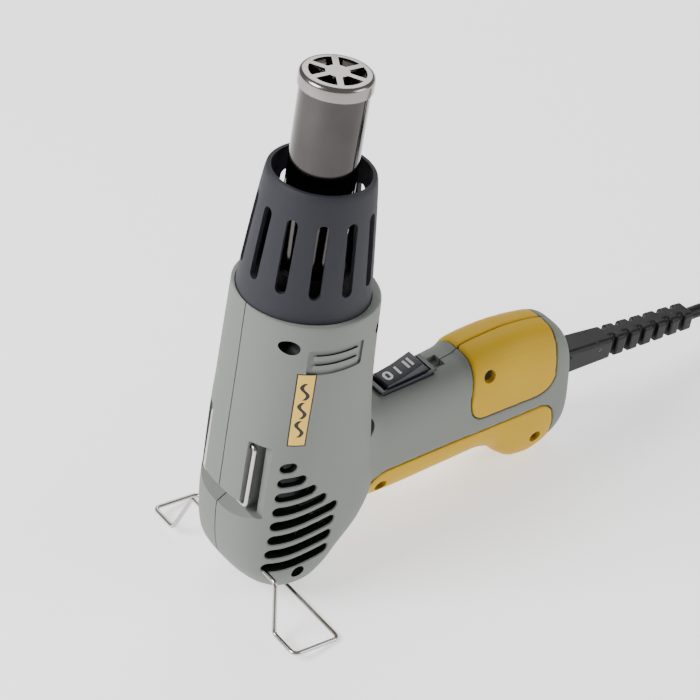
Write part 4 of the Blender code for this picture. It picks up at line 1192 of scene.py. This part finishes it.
# ---- Switch ----
@dataclass
class Switch:
    """The three-position rocker with its marks, in its bezel."""

    bench: Bench
    tilt: float = math.radians(12)
    pivot_depth: float = 0.0018
    middle_height: float = 0.0060
    end_height: float = 0.0067
    end_reach: float = 0.0094
    mark_height: float = 0.00012

    @staticmethod
    def turn() -> Matrix:
        """Place the deck's own level frame on the handle."""
        slope = Matrix.Rotation(-math.radians(8.4), 4, "Y")
        return Matrix.Translation((0.0617, 0.0, 0.0829)) @ slope

    def marks(self) -> bmesh.types.BMesh:
        """The 0, I and II, as thin inlays that follow the rocker's hollow top."""
        high, shapes = self.mark_height, []
        for x in (-0.0006, 0.0040, 0.0062):
            shapes.append(block((x - 0.00055, -0.0026, 0.0), (x + 0.00055, 0.0026, high)))
        ring_outer = capsule(-0.0019, 0.0019, -0.0027, 0.0027, 12)
        ring_inner = capsule(-0.0008, 0.0008, -0.0016, 0.0016, 12)
        lay = Matrix.Rotation(math.pi / 2, 4, "X")
        hole = turned_by(slab(ring_inner, -0.001, 0.001), lay)
        zero = turned_by(slab(ring_outer, 0.0, high), lay)
        zero = carved(zero, [(hole, "DIFFERENCE")], "EXACT")
        bmesh.ops.recalc_face_normals(zero, faces=zero.faces[:])
        shapes.append(turned_by(zero, Matrix.Translation((-0.0058, 0.0, 0.0))))
        whole = joined(shapes)
        for vertex in whole.verts:
            rise = self.end_height - self.middle_height
            vertex.co.z += abs(vertex.co.x) / self.end_reach * rise
        return whole

    def build(self) -> None:
        """Build the case with its bezel, the rocker and its marks."""
        turn = self.turn()
        bezel = eased(block((-0.0149, -0.0065, 0.0002), (0.0149, 0.0065, 0.0014)), 0.0004)
        well = block((-0.0126, -0.0054, -0.0085), (0.0126, 0.0054, 0.01))
        case = block((-0.0134, -0.0060, -0.0150), (0.0134, 0.0060, 0.0009))
        case = turned_by(carved(case, [(bezel, "UNION"), (well, "DIFFERENCE")], "EXACT"), turn)
        self.bench.place(
            as_object(case, "case"), "switch_bezel", SWITCH_BLACK, "housing", ["switch_case"]
        )
        half = [(0.0, self.middle_height), (self.end_reach, self.end_height)]
        half += [(0.0121, 0.0010), (0.0075, -0.0042)]
        outline = half + [(-x, z) for x, z in reversed(half[1:])]
        seat = turn @ Matrix.Translation((0.0, 0.0, -self.pivot_depth))
        seat = seat @ Matrix.Rotation(-self.tilt, 4, "Y")
        key = turned_by(eased(slab(outline, -0.0051, 0.0051), 0.0004, 3, 20.0), seat)
        self.bench.place(
            as_object(key, "key"), "rocker_key", SWITCH_BLACK, "rocker", ["switch_rocker"]
        )
        marks = turned_by(self.marks(), seat @ Matrix.Translation((0.0, 0.0, self.middle_height)))
        self.bench.place(as_object(marks, "marks"), "rocker_marks", MARK_WHITE, "rocker")


# ---- Relief, cord, coil and plug ----
@dataclass
class MainsLead:
    """The ribbed relief, the free lead wound up beside the gun, and its plug."""

    bench: Bench
    radius: float = 0.0032
    mouth: tuple[float, float, float] = (0.2358, 0.0, 0.0652)
    reach: float = 0.0950
    aside: float = -0.0350
    mean: float = 0.0360

    def relief(self) -> None:
        """Build the relief: a solid root, then ribs on both sides of a spine."""
        level, solid, pitch, notch, spine, count = 0.0651, 0.1835, 0.00867, 0.0033, 0.0034, 6
        end = solid + count * pitch
        rings = [
            self.section(0.1265, 0.0050, 0.0050, level),
            self.section(0.1540, 0.0070, 0.0064, level),
            self.section(solid, 0.0062, 0.0056, level),
            self.section(solid + 0.0003, spine, 0.0056, level),
            self.section(end, spine, 0.0048, level),
        ]
        tools = []
        for i in range(count):
            ends = []
            for x in (solid + i * pitch + notch, solid + (i + 1) * pitch):
                share = (x - solid) / (end - solid)
                half_y, half_z = 0.0062 - 0.0006 * share, 0.0056 - 0.0008 * share
                ends.append(self.section(x, half_y, half_z, level))
            tools.append((loft(ends), "UNION"))
        x, heights = 0.1572, (0.0685, 0.0622)
        dots = joined(rod((x, -0.02, z), (x, -0.0056, z), 0.0006, 20) for z in heights)
        tools.append((dots, "DIFFERENCE"))
        made = remeshed(cut(as_object(loft(rings), "relief"), tools, "EXACT"), 0.00045, 3)
        self.bench.place(made, "cord_relief", RELIEF_BLACK, "housing", ["strain_relief"])

    @staticmethod
    def section(x: float, half_y: float, half_z: float, z: float) -> list[Vector]:
        """One bevelled rectangular ring of the relief."""
        bevel = 0.0012
        corners = [(half_y, half_z - bevel), (half_y - bevel, half_z), (-half_y + bevel, half_z)]
        corners += [(-half_y, half_z - bevel)]
        corners += [(-y, -h) for y, h in corners]
        return [Vector((x, y, z + h)) for y, h in corners]

    def route(self) -> tuple[list[Vector], Vector]:
        """The lead's whole centreline in the world, and the coil's centre.

        Returns:
            The points from the relief's mouth to the plug, and the centre on the table.
        """
        place = self.bench.stance.matrix()
        start = place @ Vector(self.mouth)
        along = (place.to_3x3() @ Vector((1.0, 0.0, 0.0))).normalized()
        width = self.radius * 2
        centre = Vector((start.x + self.reach, start.y + self.aside, 0.0))
        ring = self.mean + width * 1.5
        floor = self.radius + 0.0002
        run = [
            start,
            start + along * 0.016,
            Vector((start.x + 0.036, start.y + 0.0022, 0.0125)),
            Vector((start.x + 0.052, start.y + 0.0068, 0.0058)),
            Vector((start.x + 0.0690, centre.y + ring - 0.0004, floor)),
            Vector((centre.x - 0.012, centre.y + ring, floor)),
        ]
        points = self.through(run, 0.004)
        turns, upper_turns, per, steps = 3.0, 3.5, 32, 4
        for i in range(int(turns * per) + 1):
            share = i / per
            points.append(self.around(centre, ring - width * share, share, floor))
        small = ring - width * turns
        for i in range(1, per + 1):
            share = i / per
            lift = (1 - math.cos(math.pi * share)) / 2 * width
            points.append(self.around(centre, small, turns + share, floor + lift))
        for i in range(1, int(upper_turns * per) + 1):
            share = i / per
            wide = small + width * min(share, turns)
            points.append(self.around(centre, wide, turns + 1 + share, floor + width))
        aside = math.sqrt((ring + 0.0032) ** 2 - (ring - 0.0042) ** 2) + GAP
        plug = Vector((centre.x - aside, centre.y - ring, 0.0130))
        last = points[-1]
        points += [last.lerp(plug, i / steps) for i in range(1, steps + 1)]
        return points, centre

    @staticmethod
    def around(centre: Vector, radius: float, turns: float, height: float) -> Vector:
        """A point of the coil, clockwise from its +Y side."""
        angle = math.pi / 2 - math.tau * turns
        out = Vector((math.cos(angle), math.sin(angle), 0.0)) * radius
        return Vector((centre.x + out.x, centre.y + out.y, height))

    @staticmethod
    def through(run: Sequence[Vector], spacing: float) -> list[Vector]:
        """Points along one smooth curve through the given ones."""
        ends = [run[0] * 2 - run[1], *run, run[-1] * 2 - run[-2]]
        made = []
        for a, b, c, d in zip(ends, ends[1:], ends[2:], ends[3:]):
            steps = max(2, round((c - b).length / spacing))
            for i in range(steps):
                t = i / steps
                bend, twist = 2 * a - 5 * b + 4 * c - d, 3 * b - a - 3 * c + d
                made.append(0.5 * (2 * b + (c - a) * t + bend * t**2 + twist * t**3))
        made.append(run[-1])
        return made

    def plug(self) -> bpy.types.Object:
        """Dress the plug's body from its CAD shape, rounded."""
        shape = bmesh.new()
        shape.from_mesh(frame_nodes["plug_body"].data)
        bmesh.ops.remove_doubles(shape, verts=shape.verts[:], dist=MERGE)
        made = as_object(shape, "plug")
        step = made.modifiers.new("round", "SUBSURF")
        step.levels = step.render_levels = 2
        return self.bench.place(
            settle(made), "plug_shell", LEAD_BLACK, "housing", ["plug_body"], sharp=60.0, world=True
        )

    def tie(self, centre: Vector) -> bpy.types.Object:
        """Bind the coil with one flat band on its far side.

        Args:
            centre: the coil's centre on the table.

        Returns:
            The band.
        """
        thick, half, reach = 0.0011, 0.0028, self.radius * 4
        near, far = self.mean - reach - thick, self.mean + reach + thick
        top = reach + thick + 0.0004
        band = eased(block((near, -half, 0.0), (far, half, top)), 0.0016, 4)
        inside = block((near + thick, -0.01, thick), (far - thick, 0.01, top - thick))
        band = carved(band, [(inside, "DIFFERENCE")], "EXACT")
        band = as_object(turned_by(band, Matrix.Translation(centre)), "band")
        return self.bench.place(band, "coil_tie", BLACK_AND_PAINTED_SHADE, "housing", world=True)

    def build(self) -> None:
        """Build the relief, the lead with its coil, the tie and the plug."""
        self.relief()
        points, centre = self.route()
        lead = self.bench.tube(
            "mains_lead", points, self.radius, LEAD_BLACK, "housing", ["cord", "cord_coil"], world=True
        )
        plug, tie = self.plug(), self.tie(centre)


# ---- Wires ----
@dataclass
class WireWork:
    """The fold-out stand and the hanging bail, both of bent bright wire."""

    bench: Bench
    radius: float = 0.0010
    stand_pin: tuple[float, float] = (-0.0166, 0.0208)
    bail_pin: tuple[float, float] = (-0.0246, 0.0825)

    def build(self) -> None:
        """Bend both wires."""
        x, z = self.stand_pin
        foot_x, bar_x, inner_y, outer_y = -0.0194, 0.0036, -0.0390, -0.0540
        stand = [
            Vector((x, -0.0190, z)),
            Vector((x, -0.0315, z)),
            Vector((foot_x, inner_y, 0.0)),
            Vector((foot_x, outer_y, 0.0)),
            Vector((bar_x, outer_y, 0.0)),
        ]
        x, z = self.bail_pin
        leg_y = -0.0150
        bail = [Vector((x, -0.0098, z)), Vector((x, leg_y, z)), Vector((-0.0252, leg_y, 0.0530))]
        for name, half, bend, body, node in (
            ("stand_loop", stand, 0.0030, "stand", "stand_wire"),
            ("bail_loop", bail, 0.0018, "bail", "hanging_bail"),
        ):
            points = bent(mirrored(half), bend)
            self.bench.tube(name, points, self.radius, WIRE_BRIGHT, body, [node])


# ---- Pieces kept from the CAD ----
def dress_frame(nodes: dict[str, bpy.types.Object]) -> None:
    """Give every kept CAD piece its own finish.

    Args:
        nodes: the CAD objects by name.
    """
    finishes = {
        "motor_can": SCREW_DARK,
        "motor_shaft": WIRE_BRIGHT,
        "motor_armature": COPPER,
        "commutator": COPPER,
        "front_bearing": BRASS,
        "rear_bearing": BRASS,
        "heater_core": CERAMIC,
        "mica_sleeve": MICA,
        "heating_coil": ELEMENT,
        "circuit_board": BOARD,
        "suppression_capacitor": LABEL_GOLD,
        "tube_flange": SCREW_DARK,
        "plug_pin_1": BRASS,
        "plug_pin_2": BRASS,
    }
    for name, node in nodes.items():
        common = SCREW_DARK if "screw" in name else BRASS if "terminal" in name else BLACK_AND_PAINTED_SHADE
        finish = finishes.get(name, common)
        for slot in node.material_slots:
            slot.material = finish.build()
        log.info("%s: %s", name, finish.name)


# ---- Studio ----
@dataclass
class Studio:
    """A pale floor, soft lights and the camera."""

    stance: Stance

    def camera(self) -> None:
        """Stand the camera where the view of the gun is right."""
        data = bpy.data.cameras.new("camera")
        data.lens, data.sensor_width, data.clip_end = 125.1, 36.0, 20.0
        made = bpy.data.objects.new("camera", data)
        bpy.context.scene.collection.objects.link(made)
        right = Vector((0.7968, -0.5872, 0.1426))
        down = Vector((-0.2406, -0.5247, -0.8166))
        ahead = Vector((0.5543, 0.6163, -0.5594))
        turn = Matrix((right, -down, -ahead)).transposed().to_4x4()
        place = Matrix.Translation((-0.5304, -0.6236, 0.6716))
        made.matrix_world = self.stance.matrix() @ place @ turn
        bpy.context.scene.camera = made

    def lamp(self, name: str, place: Sequence[float], size: float, power: float) -> None:
        """Hang a square soft light that faces the gun."""
        data = bpy.data.lights.new(name, "AREA")
        data.size, data.energy = size, power
        made = bpy.data.objects.new(name, data)
        bpy.context.scene.collection.objects.link(made)
        made.location = place
        aim = Vector((-0.05, 0.0, 0.10)) - Vector(place)
        made.rotation_euler = aim.to_track_quat("-Z", "Y").to_euler()

    def build(self) -> None:
        """Lay the floor, light it and set the camera."""
        shape = bmesh.new()
        bmesh.ops.create_grid(shape, x_segments=2, y_segments=2, size=3.0)
        floor = as_object(shape, "floor")
        paper = bpy.data.materials.new("pale_floor")
        paper.use_nodes = True
        white = (1.0, 1.0, 1.0)
        for name, value in (
            ("Base Color", (0.96, 0.96, 0.96)),
            ("Roughness", 0.9),
            ("Emission Color", white),
            ("Emission Strength", 0.9),
        ):
            feed(paper.node_tree, paper.node_tree.nodes["Principled BSDF"].inputs[name], value)
        floor.data.materials.append(paper)
        floor.location.z = -0.0001
        world = bpy.data.worlds.new("studio")
        world.use_nodes = True
        sky = world.node_tree.nodes["Background"].inputs
        feed(world.node_tree, sky["Color"], white)
        feed(world.node_tree, sky["Strength"], 0.34)
        bpy.context.scene.world = world
        self.lamp("key", (-1.0, 0.25, 0.9), 0.6, 20.0)
        self.lamp("right", (0.9, -1.0, 0.6), 0.8, 9.0)
        self.lamp("back", (0.7, 0.9, 1.0), 0.9, 9.0)
        self.camera()


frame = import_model()
frame_nodes = frame["nodes"]


def main() -> None:
    """Build the studio, then each sub-assembly in order."""
    logging.basicConfig(level=logging.INFO, format="%(name)s %(message)s")
    stance = Stance.read(frame)
    bench = Bench(stance)
    Studio(stance).build()
    MainsLead(bench).build()
    WireWork(bench).build()
    Outlet(bench).build()
    Switch(bench).build()
    Housing(bench).build()
    dress_frame(frame_nodes)


if __name__ == "__main__":
    main()
